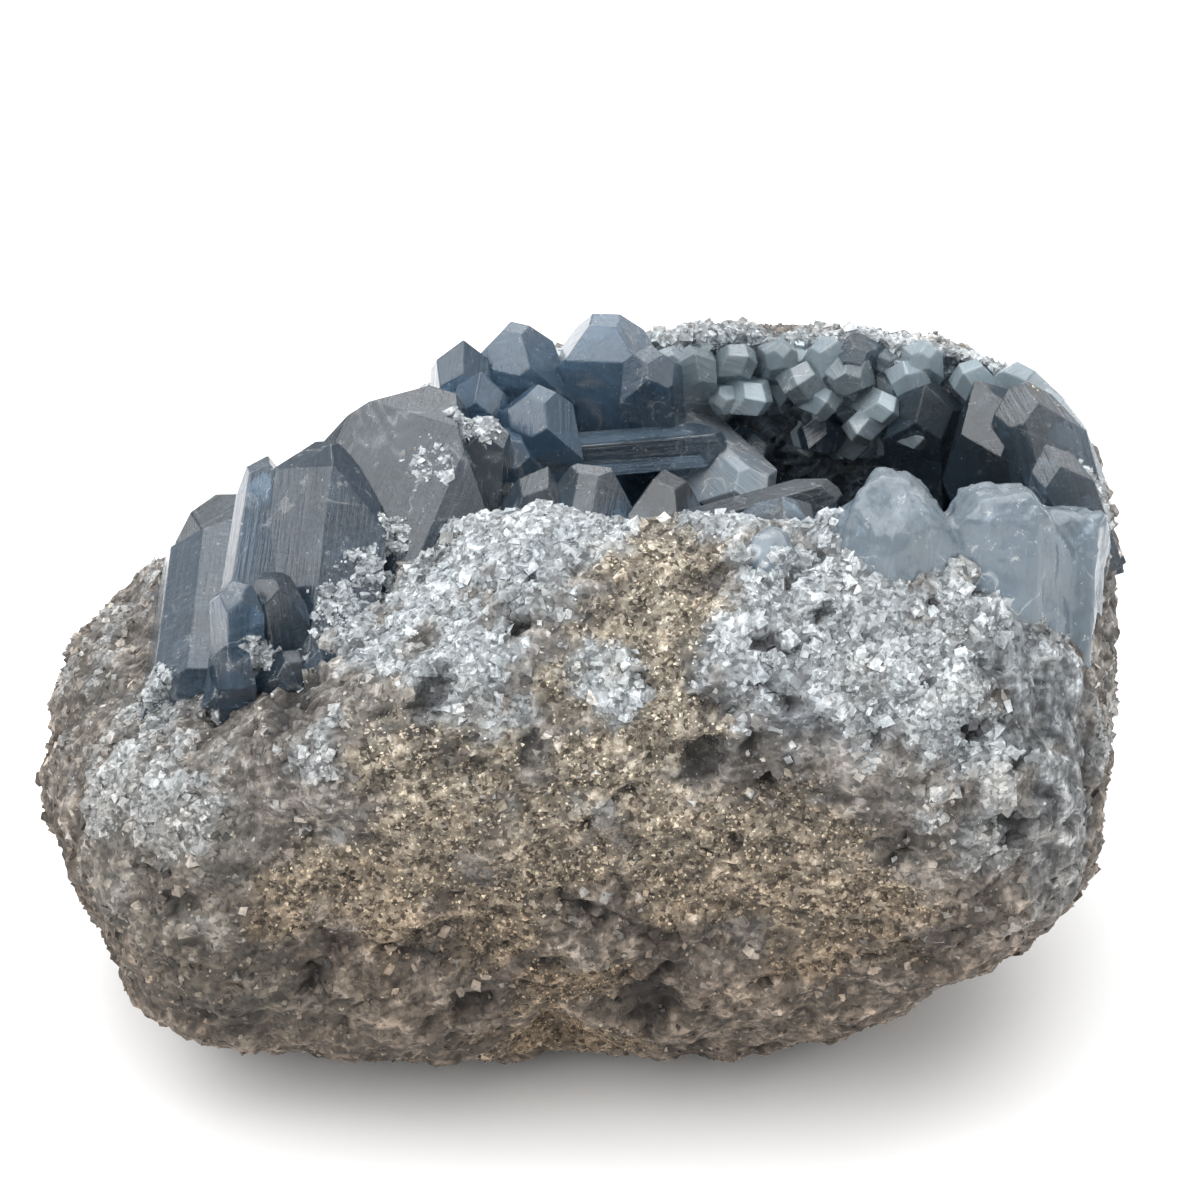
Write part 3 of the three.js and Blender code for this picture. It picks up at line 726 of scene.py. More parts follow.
def on_crystals(hosts, patches, count, rng, coat):
    """Random places on the faces of crystals, kept where the patches reach, with their normals
    and the masks of the named coat."""
    at = []
    for host in hosts:
        mesh = host.data
        mesh.calc_loop_triangles()
        corners = mesh_numbers(mesh.loop_triangles, "vertices", kind=np.int32)
        at.append((mesh_numbers(mesh.vertices, "co") / MM - TO_MIDDLE)[corners])
    at = np.concatenate(at)
    cross = np.cross(at[:, 1] - at[:, 0], at[:, 2] - at[:, 0])
    area = np.linalg.norm(cross, axis=1)
    tries = SPOTS_PER_GRAIN * count
    tri = rng.choice(len(at), tries, p=area / area.sum())
    u, v = rng.random((2, tries, 1))
    u, v = np.where(u + v > 1, 1 - u, u), np.where(u + v > 1, 1 - v, v)
    place = at[tri, 0] + u * (at[tri, 1] - at[tri, 0]) + v * (at[tri, 2] - at[tri, 0])
    kept = np.nonzero(zone(place, patches, 0.5, 3.0) > rng.random(tries))[0][:count]
    masks = {key: np.full(len(kept), float(key == coat)) for key in COATS}
    return place[kept], unit(cross[tri[kept]]), masks


def stub(index, tip, lean, width):
    """A stub's numbers: its flat face takes one of three turns, and every third tip is cut."""
    root = np.array(tip) - unit(np.array(lean)) * STUB_LENGTH * width
    face = (40 * (index % 3) - 40, 60)
    return root, tip, face, width, STUB_THICKNESS * width, BLUNT if index % 3 == 2 else None


def crust_crystals(rng, count, low, high):
    """Numbers of small crystals that grow inwards from the hollow's wall: places spread evenly
    over a ball by the golden angle, widened to the hollow's sides."""
    i = np.arange(count)
    height = 1 - (2 * (i + 0.5)) / count
    ring = np.sqrt(1 - height * height)
    turn = i * math.pi * (3 - math.sqrt(5))
    way = unit(np.c_[ring * np.cos(turn), ring * np.sin(turn), height] * HOLLOW_HALF)
    root = HOLLOW_CENTRE + way * (hollow_radius(way) + 0.5)[:, None]
    inside = room(root) > CRUST_ROOM
    way, root = way[inside], root[inside]
    size = low + (high - low) * rng.random(len(way)) ** 2
    lean = unit(rng.random(way.shape) - (0.5, 0.5, 0.3) - way)
    tip = root + lean * (size * rng.uniform(0.9, 1.4, len(way)))[:, None]
    face = np.c_[rng.uniform(0, 360, len(way)), rng.uniform(-20, 40, len(way))]
    thick = size * rng.uniform(0.6, 0.9, len(way))
    return list(zip(root, tip, face, size, thick))


def sockets(group, **kinds):
    """Makes a node group's inputs and outputs: name = (in or out, kind, default)."""
    for name, (way, kind, default) in kinds.items():
        s = group.interface.new_socket(
            name=name.replace("_", " "), in_out=way, socket_type="NodeSocket" + kind
        )
        if default is not None:
            s.default_value = default


def put(tree, socket, value):
    """Links a socket to another node's output, or sets its number, vector or colour."""
    if isinstance(value, bpy.types.NodeSocket):
        tree.links.new(value, socket)
    elif socket.type == "RGBA":
        socket.default_value = (*value, 1)
    else:
        socket.default_value = value


def node(tree, kind, **values):
    """A node with its properties and its inputs (in_ and the name or number) put in place."""
    n = tree.nodes.new(kind)
    for key, value in values.items():
        if key.startswith("in_"):
            key = key[3:]
            put(tree, n.inputs[int(key) if key.isdigit() else key.replace("_", " ")], value)
        else:
            setattr(n, key, value)
    return n


def calc(tree, operation, a, b=0.0, c=0.0):
    """The result of a Math node."""
    return node(tree, "ShaderNodeMath", operation=operation, in_0=a, in_1=b, in_2=c).outputs[0]


def mixed(tree, factor, a, b, blend="MIX"):
    """The result of a colour Mix node."""
    n = node(tree, "ShaderNodeMix", data_type="RGBA", blend_type=blend)
    put(tree, n.inputs[0], factor)
    put(tree, n.inputs[6], a)
    put(tree, n.inputs[7], b)
    return n.outputs[2]


def span(tree, value, low, high, to_low=0.0, to_high=1.0):
    """The result of a Map Range node."""
    return node(
        tree, "ShaderNodeMapRange", in_0=value, in_1=low, in_2=high, in_3=to_low, in_4=to_high
    ).outputs[0]


def clouds(tree, place, scale, detail, roughness=0.5, distortion=0.0):
    """The value of a Noise Texture."""
    return node(
        tree, "ShaderNodeTexNoise", in_Vector=place, in_Scale=scale, in_Detail=detail,
        in_Roughness=roughness, in_Distortion=distortion,
    ).outputs["Fac"]


def stretched(tree, place, scale):
    """A place with its sides multiplied."""
    return node(tree, "ShaderNodeMapping", in_Vector=place, in_Scale=scale).outputs[0]


def times(tree, colour, value):
    """A colour made lighter or darker by a value."""
    grey = node(tree, "ShaderNodeCombineColor", in_0=value, in_1=value, in_2=value).outputs[0]
    return mixed(tree, 1.0, colour, grey, "MULTIPLY")


def vectors(tree, operation, a, b=(0, 0, 0)):
    """The result of a Vector Math node; b is the number to scale by, or a vector."""
    key = "in_Scale" if operation == "SCALE" else "in_1"
    n = node(tree, "ShaderNodeVectorMath", operation=operation, in_0=a, **{key: b})
    return n.outputs[0]


def facets_group():
    """Fine crystal grain: each cell of the surface leans its own way and has its own shade."""
    g = bpy.data.node_groups.new("Grain Facets", "ShaderNodeTree")
    sockets(
        g, Vector=("INPUT", "Vector", None), Scale=("INPUT", "Float", 700.0),
        Tilt=("INPUT", "Float", 0.6), Shade=("OUTPUT", "Float", None),
        Normal=("OUTPUT", "Vector", None),
    )
    i = node(g, "NodeGroupInput")
    o = node(g, "NodeGroupOutput")
    place = i.outputs["Vector"]
    wobble = node(g, "ShaderNodeTexNoise", in_Vector=place, in_Scale=900.0, in_Detail=1.0)
    place = vectors(g, "ADD", place, vectors(g, "SCALE", wobble.outputs["Color"], 0.0006))
    cell = node(g, "ShaderNodeTexVoronoi", in_Vector=place, in_Scale=i.outputs["Scale"])
    lean = vectors(g, "SUBTRACT", cell.outputs["Color"], (0.5, 0.5, 0.5))
    lean = vectors(g, "SCALE", lean, i.outputs["Tilt"])
    facing = node(g, "ShaderNodeNewGeometry").outputs["Normal"]
    facing = vectors(g, "NORMALIZE", vectors(g, "ADD", facing, lean))
    split = node(g, "ShaderNodeSeparateColor", in_Color=cell.outputs["Color"])
    g.links.new(split.outputs[0], o.inputs["Shade"])
    g.links.new(facing, o.inputs["Normal"])
    return g


def veils_group():
    """How cloudy each place in a crystal is, and where white flecks and thin cracks lie."""
    g = bpy.data.node_groups.new("Veils", "ShaderNodeTree")
    sockets(
        g, Vector=("INPUT", "Vector", None), Cover=("INPUT", "Float", 0.45),
        Cloud=("OUTPUT", "Float", None), Flecks=("OUTPUT", "Float", None),
    )
    i = node(g, "NodeGroupInput")
    o = node(g, "NodeGroupOutput")
    place = i.outputs["Vector"]
    broad = clouds(g, place, 75.0, 7.0, 0.68, 1.2)
    low = calc(g, "SUBTRACT", 0.95, i.outputs["Cover"])
    cloud = span(g, broad, low, calc(g, "ADD", low, 0.25))
    snow = calc(g, "MULTIPLY_ADD", broad, 0.45, clouds(g, place, 520.0, 5.0, 0.7))
    fold = calc(g, "SUBTRACT", clouds(g, place, 55.0, 3.0, 0.5, 0.5), 0.5)
    crack = span(g, calc(g, "ABSOLUTE", fold), 0.0, 0.012, 1.0, 0.0)
    crack = calc(g, "MULTIPLY", crack, span(g, broad, 0.45, 0.6))
    g.links.new(cloud, o.inputs["Cloud"])
    g.links.new(calc(g, "MAXIMUM", span(g, snow, 0.83, 0.92), crack), o.inputs["Flecks"])
    return g


def group_of(name, maker):
    """The node group of that name, made when it is first asked for."""
    return bpy.data.node_groups.get(name) or maker()


def new_material(name):
    """An empty node material: its tree, its Principled shader and its output."""
    m = bpy.data.materials.new(name)
    m.use_nodes = True
    tree = m.node_tree
    shader = tree.nodes["Principled BSDF"]
    return m, tree, shader, tree.nodes["Material Output"]


def facets(tree, place, scale, tilt):
    """The grain group at that scale: its shade and its normal."""
    group = group_of("Grain Facets", facets_group)
    n = node(
        tree, "ShaderNodeGroup", node_tree=group, in_Vector=place, in_Scale=scale, in_Tilt=tilt
    )
    return n.outputs["Shade"], n.outputs["Normal"]


def mask_of(tree, key):
    """One of the mesh's masks."""
    return node(tree, "ShaderNodeAttribute", attribute_name=key).outputs["Fac"]


def coat_colours(tree, place, level, coarse, small, fine, colours):
    """The colours of the grey stone, the marl, the sugar, the fibres and the hollow's wall, from
    the shades of coarse and small grain and a fine noise. The wall is painted shade, painted
    lighter near the mouth."""
    broad = clouds(tree, place, 90.0, 5.0, 0.6)
    grey = mixed(tree, span(tree, broad, 0.3, 0.7), colours.grey_dark, colours.grey_light)
    grey = mixed(tree, span(tree, coarse, 0.55, 1.0, 0.0, 0.55), grey, PALE_GRAIN)
    grey = mixed(tree, span(tree, coarse, 0.35, 0.0, 0.0, 0.6), grey, DARK_GRAIN)
    grey = mixed(tree, calc(tree, "MULTIPLY", mask_of(tree, "green"), 0.55), grey, GREENISH)
    grey = mixed(tree, calc(tree, "MULTIPLY", mask_of(tree, "blue"), 0.5), grey, BLUISH)
    sand = mixed(tree, span(tree, fine, 0.35, 0.65), colours.marl_dark, colours.marl_light)
    sand = mixed(tree, span(tree, small, 0.86, 0.9, 0.0, 0.7), sand, PALE_SAND)
    sand = mixed(tree, span(tree, small, 0.24, 0.14, 0.0, 0.75), sand, DARK_SAND)
    snow = calc(tree, "MULTIPLY", small, 0.5)
    snow = calc(tree, "ADD", snow, span(tree, fine, 0.3, 0.7, 0.0, 0.5))
    white = mixed(tree, snow, colours.sugar_dark, colours.sugar_light)
    white = mixed(tree, span(tree, broad, 0.45, 0.65, 0.0, 0.55), white, BLUE_SNOW)
    white = mixed(tree, span(tree, broad, 0.42, 0.3, 0.0, 0.4), white, CREAM_SNOW)
    drawn = clouds(tree, stretched(tree, place, (600, 600, 45)), 1.0, 4.0, 0.65)
    thread = mixed(tree, span(tree, drawn, 0.38, 0.62), DARK_THREAD, PALE_THREAD)
    # Painted shade on the hollow's wall, painted lighter towards its mouth by height
    inside = mixed(tree, coarse, SHADED_WALL_DARK, SHADED_WALL_PALE)
    lit_mouth = mixed(tree, coarse, LIT_MOUTH_DARK, LIT_MOUTH_PALE)
    inside = mixed(tree, span(tree, level, 0.086, 0.098), inside, lit_mouth)
    return grey, sand, white, thread, inside


def stone_material(colours, name, tilt, grit):
    """Marl, sugary celestite and grey-brown grain, laid out by the mesh's masks, with painted shade in
    pits, creases, low relief and towards the bottom, and painted light on raised relief. tilt is how
    far the grain's facets lean, and grit how much the small grain shades the colour."""
    if name in bpy.data.materials:
        return bpy.data.materials[name]
    m, tree, shader, _ = new_material(name)
    place = node(tree, "ShaderNodeTexCoord").outputs["Object"]
    level = node(tree, "ShaderNodeSeparateXYZ", in_Vector=place).outputs["Z"]
    coarse, coarse_facing = facets(tree, place, 700.0, tilt)
    small, small_facing = facets(tree, place, 1500.0, tilt)
    fine = clouds(tree, place, 900.0, 4.0, 0.7)
    colour, *above = coat_colours(tree, place, level, coarse, small, fine, colours)
    for key, coat in zip(("marl", "sugar", "fibre", "inner"), above):
        colour = mixed(tree, mask_of(tree, key), colour, coat)
    speck = times(tree, colour, span(tree, small, 0.0, 1.0, 0.55, 1.4))
    colour = mixed(tree, grit, colour, speck)
    # Painted shade: near-black in pits, pores, creases and the lowest relief; the same colour is the dark
    # grains' own
    colour = mixed(tree, calc(tree, "MULTIPLY", mask_of(tree, "pit"), 0.8), colour, PIT_SHADE_AND_DARK_GRAIN)
    own = calc(tree, "MULTIPLY", mask_of(tree, "tint"), mask_of(tree, "tint"))
    darkest = span(tree, mask_of(tree, "sugar"), 0.0, 1.0, 0.55, 0.8)
    lightest = span(tree, mask_of(tree, "sugar"), 0.0, 1.0, 2.0, 1.35)
    own = span(tree, own, 0.0, 1.0, darkest, lightest)
    # Painted shade in the low parts of the sheet's relief and painted light on its raised parts; on
    # grains this mask is a random tone
    shade = calc(tree, "MULTIPLY", span(tree, mask_of(tree, "high"), 0.0, 1.0, 0.55, 1.12), own)
    # Painted shade: the stone is darker towards the bottom, partly painted shade and partly a browner
    # tone
    low_shade_and_warmth = mixed(tree, span(tree, level, 0.035, 0.08), LOW_SHADE_AND_WARMTH, UNTINTED)
    colour = times(tree, mixed(tree, 1.0, colour, low_shade_and_warmth, "MULTIPLY"), shade)
    tree.links.new(colour, shader.inputs["Base Color"])
    shiny = calc(tree, "MAXIMUM", mask_of(tree, "sugar"), mask_of(tree, "inner"))
    tree.links.new(span(tree, shiny, 0.0, 1.0, 0.8, 0.32), shader.inputs["Roughness"])
    sandy = span(tree, mask_of(tree, "marl"), 0.2, 0.8)
    facing = mixed(tree, sandy, coarse_facing, small_facing)
    bump = node(
        tree, "ShaderNodeBump", in_Strength=0.9, in_Distance=0.0006, in_Height=fine,
        in_Normal=facing,
    )
    tree.links.new(bump.outputs[0], shader.inputs["Normal"])
    return m


def crystal_material(name, deep, cloudy, shallow=None, fibrous=False):
    """See-through celestite: tinted clear parts, paler rougher veils, white flecks, lines of
    growth and the small steps of broken cleavage. shallow is the colour of clear parts near the
    top; fibrous draws the lines up the height and not along each crystal."""
    cover, clear, absorb, density, streaks = CRYSTAL_LOOKS[name]
    m, tree, shader, out = new_material(name)
    place = node(tree, "ShaderNodeTexCoord").outputs["Object"]
    group = group_of("Veils", veils_group)
    veils = node(tree, "ShaderNodeGroup", node_tree=group, in_Vector=place, in_Cover=cover)
    flecks = veils.outputs["Flecks"]
    if fibrous:
        growth = place
        along = stretched(tree, place, (900, 900, 70))
    else:
        growth = node(tree, "ShaderNodeUVMap", uv_map="Growth").outputs[0]
        along = stretched(tree, growth, (1.5, 0.09, 1.0))
    lines = clouds(tree, along, 1.0, 4.0, 0.6)
    number = node(tree, "ShaderNodeSeparateXYZ", in_Vector=growth).outputs["X"]
    number = calc(tree, "ADD", number, GROWTH_STEP / 2)
    number = calc(tree, "FLOOR", calc(tree, "DIVIDE", number, GROWTH_STEP))
    own = node(
        tree, "ShaderNodeTexWhiteNoise", noise_dimensions="1D", in_W=number
    ).outputs["Value"]
    streak = calc(tree, "MULTIPLY", span(tree, lines, 0.52, 0.72), streaks)
    cloud = calc(tree, "MAXIMUM", veils.outputs["Cloud"], streak)
    cloud = calc(tree, "MULTIPLY", cloud, span(tree, own, 0.0, 1.0, 0.6, 0.95))
    base = deep
    if shallow:
        level = node(tree, "ShaderNodeSeparateXYZ", in_Vector=place).outputs["Z"]
        base = mixed(tree, span(tree, level, 0.078, 0.104), base, shallow)
    base = times(tree, base, span(tree, own, 0.0, 1.0, 0.65, 1.45))
    colour = mixed(tree, cloud, base, cloudy)
    colour = mixed(tree, calc(tree, "MULTIPLY", flecks, 0.75), colour, FLECK)
    tree.links.new(colour, shader.inputs["Base Color"])
    haze = calc(tree, "MAXIMUM", cloud, flecks)
    tree.links.new(span(tree, haze, 0.0, 1.0, 0.05, 0.38), shader.inputs["Roughness"])
    uneven = clouds(tree, place, 130.0, 4.0)
    steps = calc(tree, "SNAP", calc(tree, "MULTIPLY_ADD", lines, 0.35, uneven), 0.075)
    height = calc(tree, "MULTIPLY_ADD", lines, 0.35, calc(tree, "MULTIPLY", steps, 2.2))
    bump = node(tree, "ShaderNodeBump", in_Strength=0.75, in_Distance=0.0006, in_Height=height)
    tree.links.new(bump.outputs[0], shader.inputs["Normal"])
    shader.inputs["Transmission Weight"].default_value = clear
    shader.inputs["IOR"].default_value = CELESTITE_IOR
    volume = node(tree, "ShaderNodeVolumeAbsorption", in_Color=absorb, in_Density=density)
    tree.links.new(volume.outputs[0], out.inputs["Volume"])
    return m


def plain_material(name, colour, rough):
    """One even colour."""
    m, _, shader, _ = new_material(name)
    shader.inputs["Base Color"].default_value = (*colour, 1)
    shader.inputs["Roughness"].default_value = rough
    return m


def colour_property(name, description, default):
    """A colour setting."""
    return bpy.props.FloatVectorProperty(
        name=name, description=description, default=default, subtype="COLOR", min=0.0, max=1.0
    )


def count_property(name, description, default, low, high):
    """A whole-number setting from low to high."""
    return bpy.props.IntProperty(
        name=name, description=description, default=default, min=low, max=high
    )


class GeodeColours(bpy.types.PropertyGroup):
    """The stone's and the crystals' colours."""

    marl_dark: colour_property("Marl, dark", "Hollows of the tan marl", (0.24, 0.195, 0.145))
    marl_light: colour_property("Marl, light", "Raised grain of the tan marl", (0.66, 0.59, 0.47))
    grey_dark: colour_property("Stone, dark", "Dark parts of the stone", (0.11, 0.095, 0.083))
    grey_light: colour_property("Stone, light", "Light parts of the stone", (0.46, 0.43, 0.39))
    sugar_dark: colour_property("Sugar, dark", "Shaded sugary grains", (0.22, 0.245, 0.26))
    sugar_light: colour_property("Sugar, light", "Bright sugary grains", (0.72, 0.76, 0.78))
    crystal_deep: colour_property("Crystal, clear", "Clear parts of the crystals", (0.14, 0.225, 0.32))
    crystal_pale: colour_property("Crystal, pale", "Clear parts of the pale crystals", (0.23, 0.29, 0.34))
    crystal_veil: colour_property("Crystal, cloudy", "Veils in the crystals", (0.34, 0.45, 0.55))


class GeodeDetail(bpy.types.PropertyGroup):
    """How fine the geode is made."""

    columns: count_property("Columns", "Columns of the stone's sheet", 420, 60, 600)
    skin_rows: count_property("Skin rows", "Rows up the stone's skin", 170, 40, 300)
    wall_rows: count_property("Wall rows", "Rows down the hollow's wall", 60, 20, 120)
    sugar_grains: count_property("Sugar grains", "Pale grains on the upper stone", 15000, 0, 16000)
    stone_grains: count_property("Stone grains", "Grey-brown grains", 15000, 0, 16000)
    marl_grains: count_property("Marl grains", "Sand grains on the marl", 16000, 0, 24000)
    small_crystals: count_property("Small crystals", "Places tried in the hollow", 170, 10, 400)
    seed: bpy.props.IntProperty(
        name="Seed", description="Picks the scattered places and sizes", default=11
    )


class GeodeStage(bpy.types.PropertyGroup):
    """Floor, light and camera."""

    distance: bpy.props.FloatProperty(
        name="Camera distance", description="From the geode's middle", default=0.45, unit="LENGTH"
    )
    elevation: bpy.props.FloatProperty(
        name="Camera elevation", description="Above level", default=math.radians(30),
        subtype="ANGLE",
    )
    lens: bpy.props.FloatProperty(
        name="Lens", description="Focal length", default=80.6, unit="CAMERA"
    )
    floor: colour_property("Floor", "The pale floor", (0.92, 0.92, 0.92))


# Sheets already made, by their detail
SHEETS = {}


def rock_sheet(context):
    """The stone's sheet with this scene's detail, kept so that the grains lie on it."""
    d = context.scene.geode_detail
    key = (d.columns, d.skin_rows, d.wall_rows)
    if key not in SHEETS:
        SHEETS[key] = rock_surface(*key)
    return SHEETS[key]


class GEODE_OT_stone(bpy.types.Operator):
    """Build the stone with its hollow"""

    bl_idname = "geode.stone"
    bl_label = "Stone"

    def execute(self, context):
        p, _, masks, _ = rock_sheet(context)
        faces, sizes = sheet_faces(*p.shape[:2])
        points = np.concatenate([p.reshape(-1, 3), p[[0, -1]].mean(1)])
        marks = {k: np.concatenate([v.ravel(), v[[0, -1]].mean(1)]) for k, v in masks.items()}
        look = stone_material(context.scene.geode_colours, *STONE_LOOK)
        stone = mesh_object("stone", points, faces, sizes, look, True, marks)
        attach(stone, "root")
        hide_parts("matrix")
        return {"FINISHED"}


class GEODE_OT_grains(bpy.types.Operator):
    """Scatter the sugary, stony and sandy grains over the stone"""

    bl_idname = "geode.grains"
    bl_label = "Grains"

    def execute(self, context):
        d = context.scene.geode_detail
        sheet = rock_sheet(context)
        p, _, masks, to_rim = sheet
        rng = np.random.default_rng(d.seed)
        clear = p[..., 2] > ABOVE_TABLE
        dry = (1 - masks["inner"]) * clear
        upper = smooth(-to_rim, -14, 0) * clear
        look = stone_material(context.scene.geode_colours, *GRAIN_LOOK)
        weight = masks["sugar"] * upper * (1 - 0.7 * masks["pit"]) * (1 - 0.8 * masks["fibre"])
        spots = pick_spots(sheet, weight, d.sugar_grains, rng)
        made = [grains("sugar_grains", spots, SUGAR_GRAIN, look, rng)]
        weight = (1 - masks["sugar"]) * (1 - 0.9 * masks["marl"]) * (1 - 0.6 * masks["pit"]) * dry
        weight = weight * (1 - 0.85 * masks["fibre"])
        spots = pick_spots(sheet, weight, d.stone_grains, rng)
        # A share of the stone grains is dark in its own colour, through the same mask as the painted
        # shade in pits
        dark = rng.random(d.stone_grains) < DARK_SHARE
        spots[2]["pit"] = np.maximum(spots[2]["pit"], 0.8 * dark)
        pale = rng.random(d.stone_grains) < PALE_SHARE
        spots[2]["sugar"] = np.maximum(spots[2]["sugar"], 0.75 * pale)
        made.append(grains("stone_grains", spots, STONE_GRAIN, look, rng))
        spots = pick_spots(sheet, masks["marl"] * dry, d.marl_grains, rng)
        made.append(grains("marl_grains", spots, MARL_GRAIN, look, rng))
        for obj in made:
            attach(obj, "root")
        return {"FINISHED"}


def build_group(name, crystals, node_name, material):
    """One group of crystals as a solid, which stands for its node if one is named."""
    obj = grown_together(name, crystals, material)
    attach(obj, "root")
    if node_name:
        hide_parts(node_name)
    return obj


def shaded(colour, share):
    """A colour made darker or lighter."""
    return tuple(share * x for x in colour)


def rim_crystals(context, rng):
    """The crust under the back rim: the stubby crystals, then small ones at random places on the
    rows round the rim. A small one is left out if its tip or foot comes out of the rock."""
    p, n, _, to_rim = rock_sheet(context)
    rim = np.abs(to_rim).mean(1).argmin()
    first, last = rim + RIM_ROWS[0], rim + RIM_ROWS[1]
    row, column = np.nonzero(p[first:last, :, 1] > RIM_BACK)
    chosen = rng.choice(len(row), RIM_TRIES, replace=False)
    row, column = first + row[chosen], column[chosen]
    stray = rng.normal(0, 0.4, (RIM_TRIES, 3))
    lean = unit(n[row, column] + stray + (0, -0.35, 0.1))
    size = 5.5 + 6.0 * rng.random(RIM_TRIES) ** 1.3
    root = p[row, column] - lean * (0.75 * size)[:, None]
    tip = root + lean * (size * rng.uniform(1.0, 1.2, RIM_TRIES))[:, None]
    within = (room(tip) > 0.3 * size + 0.5) & (room(root) > 0.45 * size)
    made = [crystal(*stub(i, *s), edge=0.3) for i, s in enumerate(STUBS)]
    turn, cut = rng.uniform(0, 360, RIM_TRIES), rng.random(RIM_TRIES)
    for i in np.nonzero(within)[0][:RIM_MOST]:
        face, thick = (turn[i], 10), 0.7 * size[i]
        blunt = BLUNT if cut[i] > 0.8 else None
        made.append(crystal(root[i], tip[i], face, size[i], thick, blunt, 1.0, 0.2))
    return made


class GEODE_OT_hollow_crystals(bpy.types.Operator):
    """Line the hollow with crystals"""

    bl_idname = "geode.hollow_crystals"
    bl_label = "Hollow crystals"

    def execute(self, context):
        d, c = context.scene.geode_detail, context.scene.geode_colours
        rng = np.random.default_rng(d.seed + 1)
        crystals = [crystal(*h) for h in HEROES]
        for numbers in crust_crystals(rng, *LARGE_CRUST):
            crystals.append(crystal(*numbers, None, 1.0))
        for numbers in crust_crystals(rng, d.small_crystals, *SMALL_CRUST):
            crystals.append(crystal(*numbers, None, 1.0, 0.15))
        deep = shaded(c.crystal_deep, DARKER)
        look = crystal_material("Hollow Crystal", deep, c.crystal_veil, c.crystal_pale)
        build_group("hollow_druse", crystals, "hollow_crystals", look)
        look = crystal_material("Milky Prism", c.crystal_pale, MILK)
        prism = [crystal(*h) for h in PALE_PRISM]
        build_group("milky_prism", prism, None, look)
        look = crystal_material("Rim Stub", STUB_CLEAR, STUB_CLOUDY)
        build_group("rim_druse", rim_crystals(context, rng), None, look)
        return {"FINISHED"}


class GEODE_OT_shoulder_crystals(bpy.types.Operator):
    """Build the large dark crystals left of the hollow"""

    bl_idname = "geode.shoulder_crystals"
    bl_label = "Shoulder crystals"

    def execute(self, context):
        crystals = [crystal(*s) for s in SHOULDER]
        c = context.scene.geode_colours
        deep = shaded(c.crystal_deep, DARKER)
        look = crystal_material("Dark Crystal", deep, c.crystal_veil)
        build_group("shoulder_cluster", crystals, "shoulder_crystals", look)
        return {"FINISHED"}


class GEODE_OT_back_rim_crystals(bpy.types.Operator):
    """Build the dark block and the heap of points on the back rim"""

    bl_idname = "geode.back_rim_crystals"
    bl_label = "Back rim crystals"

    def execute(self, context):
        crystals = [crystal(*s) for s in BACK_RIM]
        c = context.scene.geode_colours
        deep = shaded(c.crystal_deep, LIGHTER)
        look = crystal_material("Rim Crystal", deep, c.crystal_veil)
        build_group("back_rim_cluster", crystals, "back_rim_crystals", look)
        return {"FINISHED"}


class GEODE_OT_corner_crystals(bpy.types.Operator):
    """Build the pale crystals on the front right-hand corner"""

    bl_idname = "geode.corner_crystals"
    bl_label = "Corner crystals"

    def execute(self, context):
        crystals = [crystal(*s, edge=0.8) for s in CORNER]
        c = context.scene.geode_colours
        look = crystal_material("Pale Crystal", c.crystal_pale, c.crystal_veil, fibrous=True)
        body = build_group("corner_cluster", crystals, "corner_crystals", look)
        etched(body, 0.8)
        return {"FINISHED"}


class GEODE_OT_dust(bpy.types.Operator):
    """Catch sugary dust and crumbs of marl on the crystals"""

    bl_idname = "geode.dust"
    bl_label = "Dust and crumbs"

    def execute(self, context):
        rng = np.random.default_rng(context.scene.geode_detail.seed + 2)
        look = stone_material(context.scene.geode_colours, *GRAIN_LOOK)
        hosts = [bpy.data.objects[k] for k in DUSTED]
        spots = on_crystals(hosts, DUST, DUST_COUNT, rng, "sugar")
        made = [grains("dust", spots, DUST_GRAIN, look, rng)]
        spots = on_crystals(hosts, CRUMBS, CRUMB_COUNT, rng, "marl")
        made.append(grains("crumbs", spots, CRUMB_GRAIN, look, rng))
        for obj in made:
            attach(obj, "root")
        return {"FINISHED"}


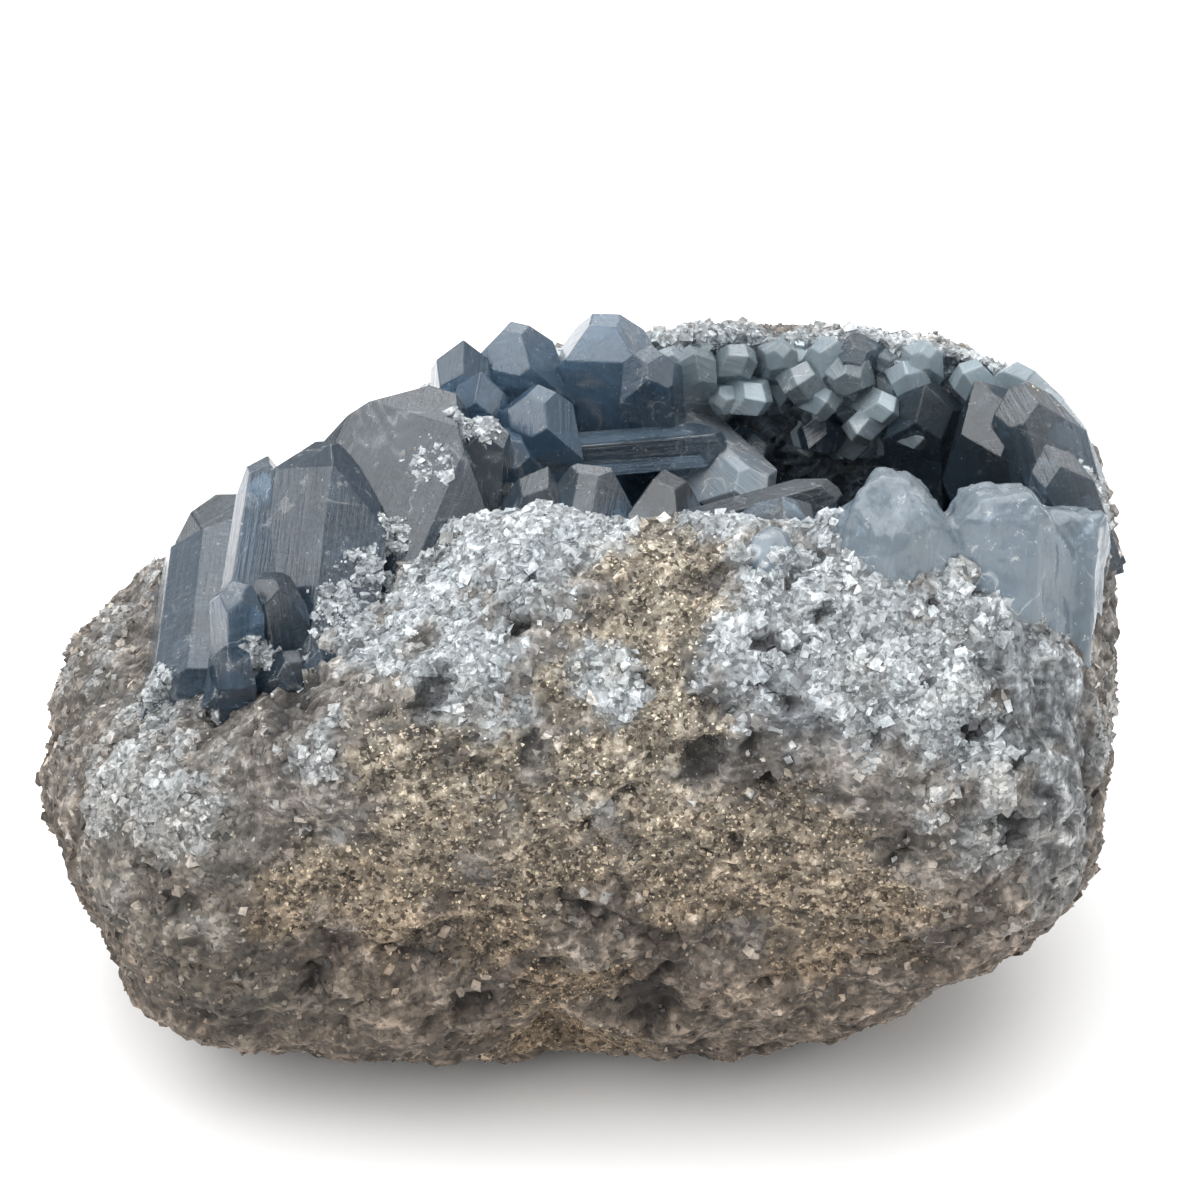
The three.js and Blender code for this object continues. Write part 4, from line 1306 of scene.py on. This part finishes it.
class GEODE_OT_stage(bpy.types.Operator):
    """Set the floor, the lights and the camera"""

    bl_idname = "geode.stage"
    bl_label = "Stage"

    def execute(self, context):
        s = context.scene.geode_stage
        side = FLOOR_HALF
        floor = mesh_object(
            "floor", [(-side, -side, 0), (side, -side, 0), (side, side, 0), (-side, side, 0)],
            [0, 1, 2, 3], [4], plain_material("Floor", s.floor, 0.8),
        )
        world = context.scene.world or bpy.data.worlds.new("World")
        context.scene.world = world
        world.use_nodes = True
        sky = world.node_tree.nodes["Background"]
        sky.inputs["Color"].default_value = (1, 1, 1, 1)
        sky.inputs["Strength"].default_value = SKY
        context.scene.view_settings.view_transform = "Standard"
        for name, (at, size, power) in LAMPS.items():
            lamp = bpy.data.lights.new(name, "AREA")
            lamp.size = size
            lamp.energy = power
            obj = bpy.data.objects.new(name, lamp)
            obj.location = at
            obj.rotation_mode = "QUATERNION"
            obj.rotation_quaternion = (Vector(LAMP_AIM) - Vector(at)).to_track_quat("-Z", "Y")
            context.collection.objects.link(obj)
        e = s.elevation
        heart = Vector((HEART + TO_MIDDLE) * MM)
        back = Vector((0, -math.cos(e), math.sin(e)))
        up = Vector((0, math.sin(e), math.cos(e)))
        place = heart + back * s.distance
        pixel = s.distance * SENSOR / s.lens / PHOTO_PIXELS
        right, above = AIM
        aim = heart + Vector((right * pixel, 0, 0)) + up * (above * pixel)
        data = bpy.data.cameras.new("camera")
        data.sensor_width = SENSOR
        data.lens = s.lens
        camera = bpy.data.objects.new("camera", data)
        camera.location = place
        camera.rotation_mode = "QUATERNION"
        camera.rotation_quaternion = (aim - place).to_track_quat("-Z", "Y")
        context.collection.objects.link(camera)
        context.scene.camera = camera
        return {"FINISHED"}


class GEODE_PT_panel(bpy.types.Panel):
    """The geode's sizes, colours and pieces"""

    bl_idname = "GEODE_PT_panel"
    bl_label = "Celestite Geode"
    bl_space_type = "VIEW_3D"
    bl_region_type = "UI"
    bl_category = "Geode"

    def draw(self, context):
        for group in ("geode_detail", "geode_colours", "geode_stage"):
            box = self.layout.box()
            settings = getattr(context.scene, group)
            for key in settings.__annotations__:
                box.prop(settings, key)
        for step in STEPS:
            self.layout.operator(step.bl_idname)


STEPS = (
    GEODE_OT_stone,
    GEODE_OT_grains,
    GEODE_OT_hollow_crystals,
    GEODE_OT_shoulder_crystals,
    GEODE_OT_back_rim_crystals,
    GEODE_OT_corner_crystals,
    GEODE_OT_dust,
    GEODE_OT_stage,
)
CLASSES = (GeodeColours, GeodeDetail, GeodeStage, *STEPS, GEODE_PT_panel)
SETTINGS = {"geode_colours": GeodeColours, "geode_detail": GeodeDetail, "geode_stage": GeodeStage}


def register():
    """Adds the settings, the steps and the panel to Blender."""
    for c in CLASSES:
        bpy.utils.register_class(c)
    for name, kind in SETTINGS.items():
        setattr(bpy.types.Scene, name, bpy.props.PointerProperty(type=kind))


def unregister():
    """Takes the settings, the steps and the panel out again."""
    for name in SETTINGS:
        delattr(bpy.types.Scene, name)
    for c in reversed(CLASSES):
        bpy.utils.unregister_class(c)


def corners(box):
    """A box's two corners as plain lists."""
    return [[float(x) for x in corner] for corner in box]


def main():
    """Builds the pieces and the stage."""
    register()
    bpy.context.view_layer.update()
    bpy.ops.geode.stone()
    bpy.ops.geode.grains()
    bpy.ops.geode.hollow_crystals()
    bpy.ops.geode.shoulder_crystals()
    bpy.ops.geode.back_rim_crystals()
    bpy.ops.geode.corner_crystals()
    bpy.ops.geode.dust()
    bpy.ops.geode.stage()


if __name__ == "__main__":
    main()
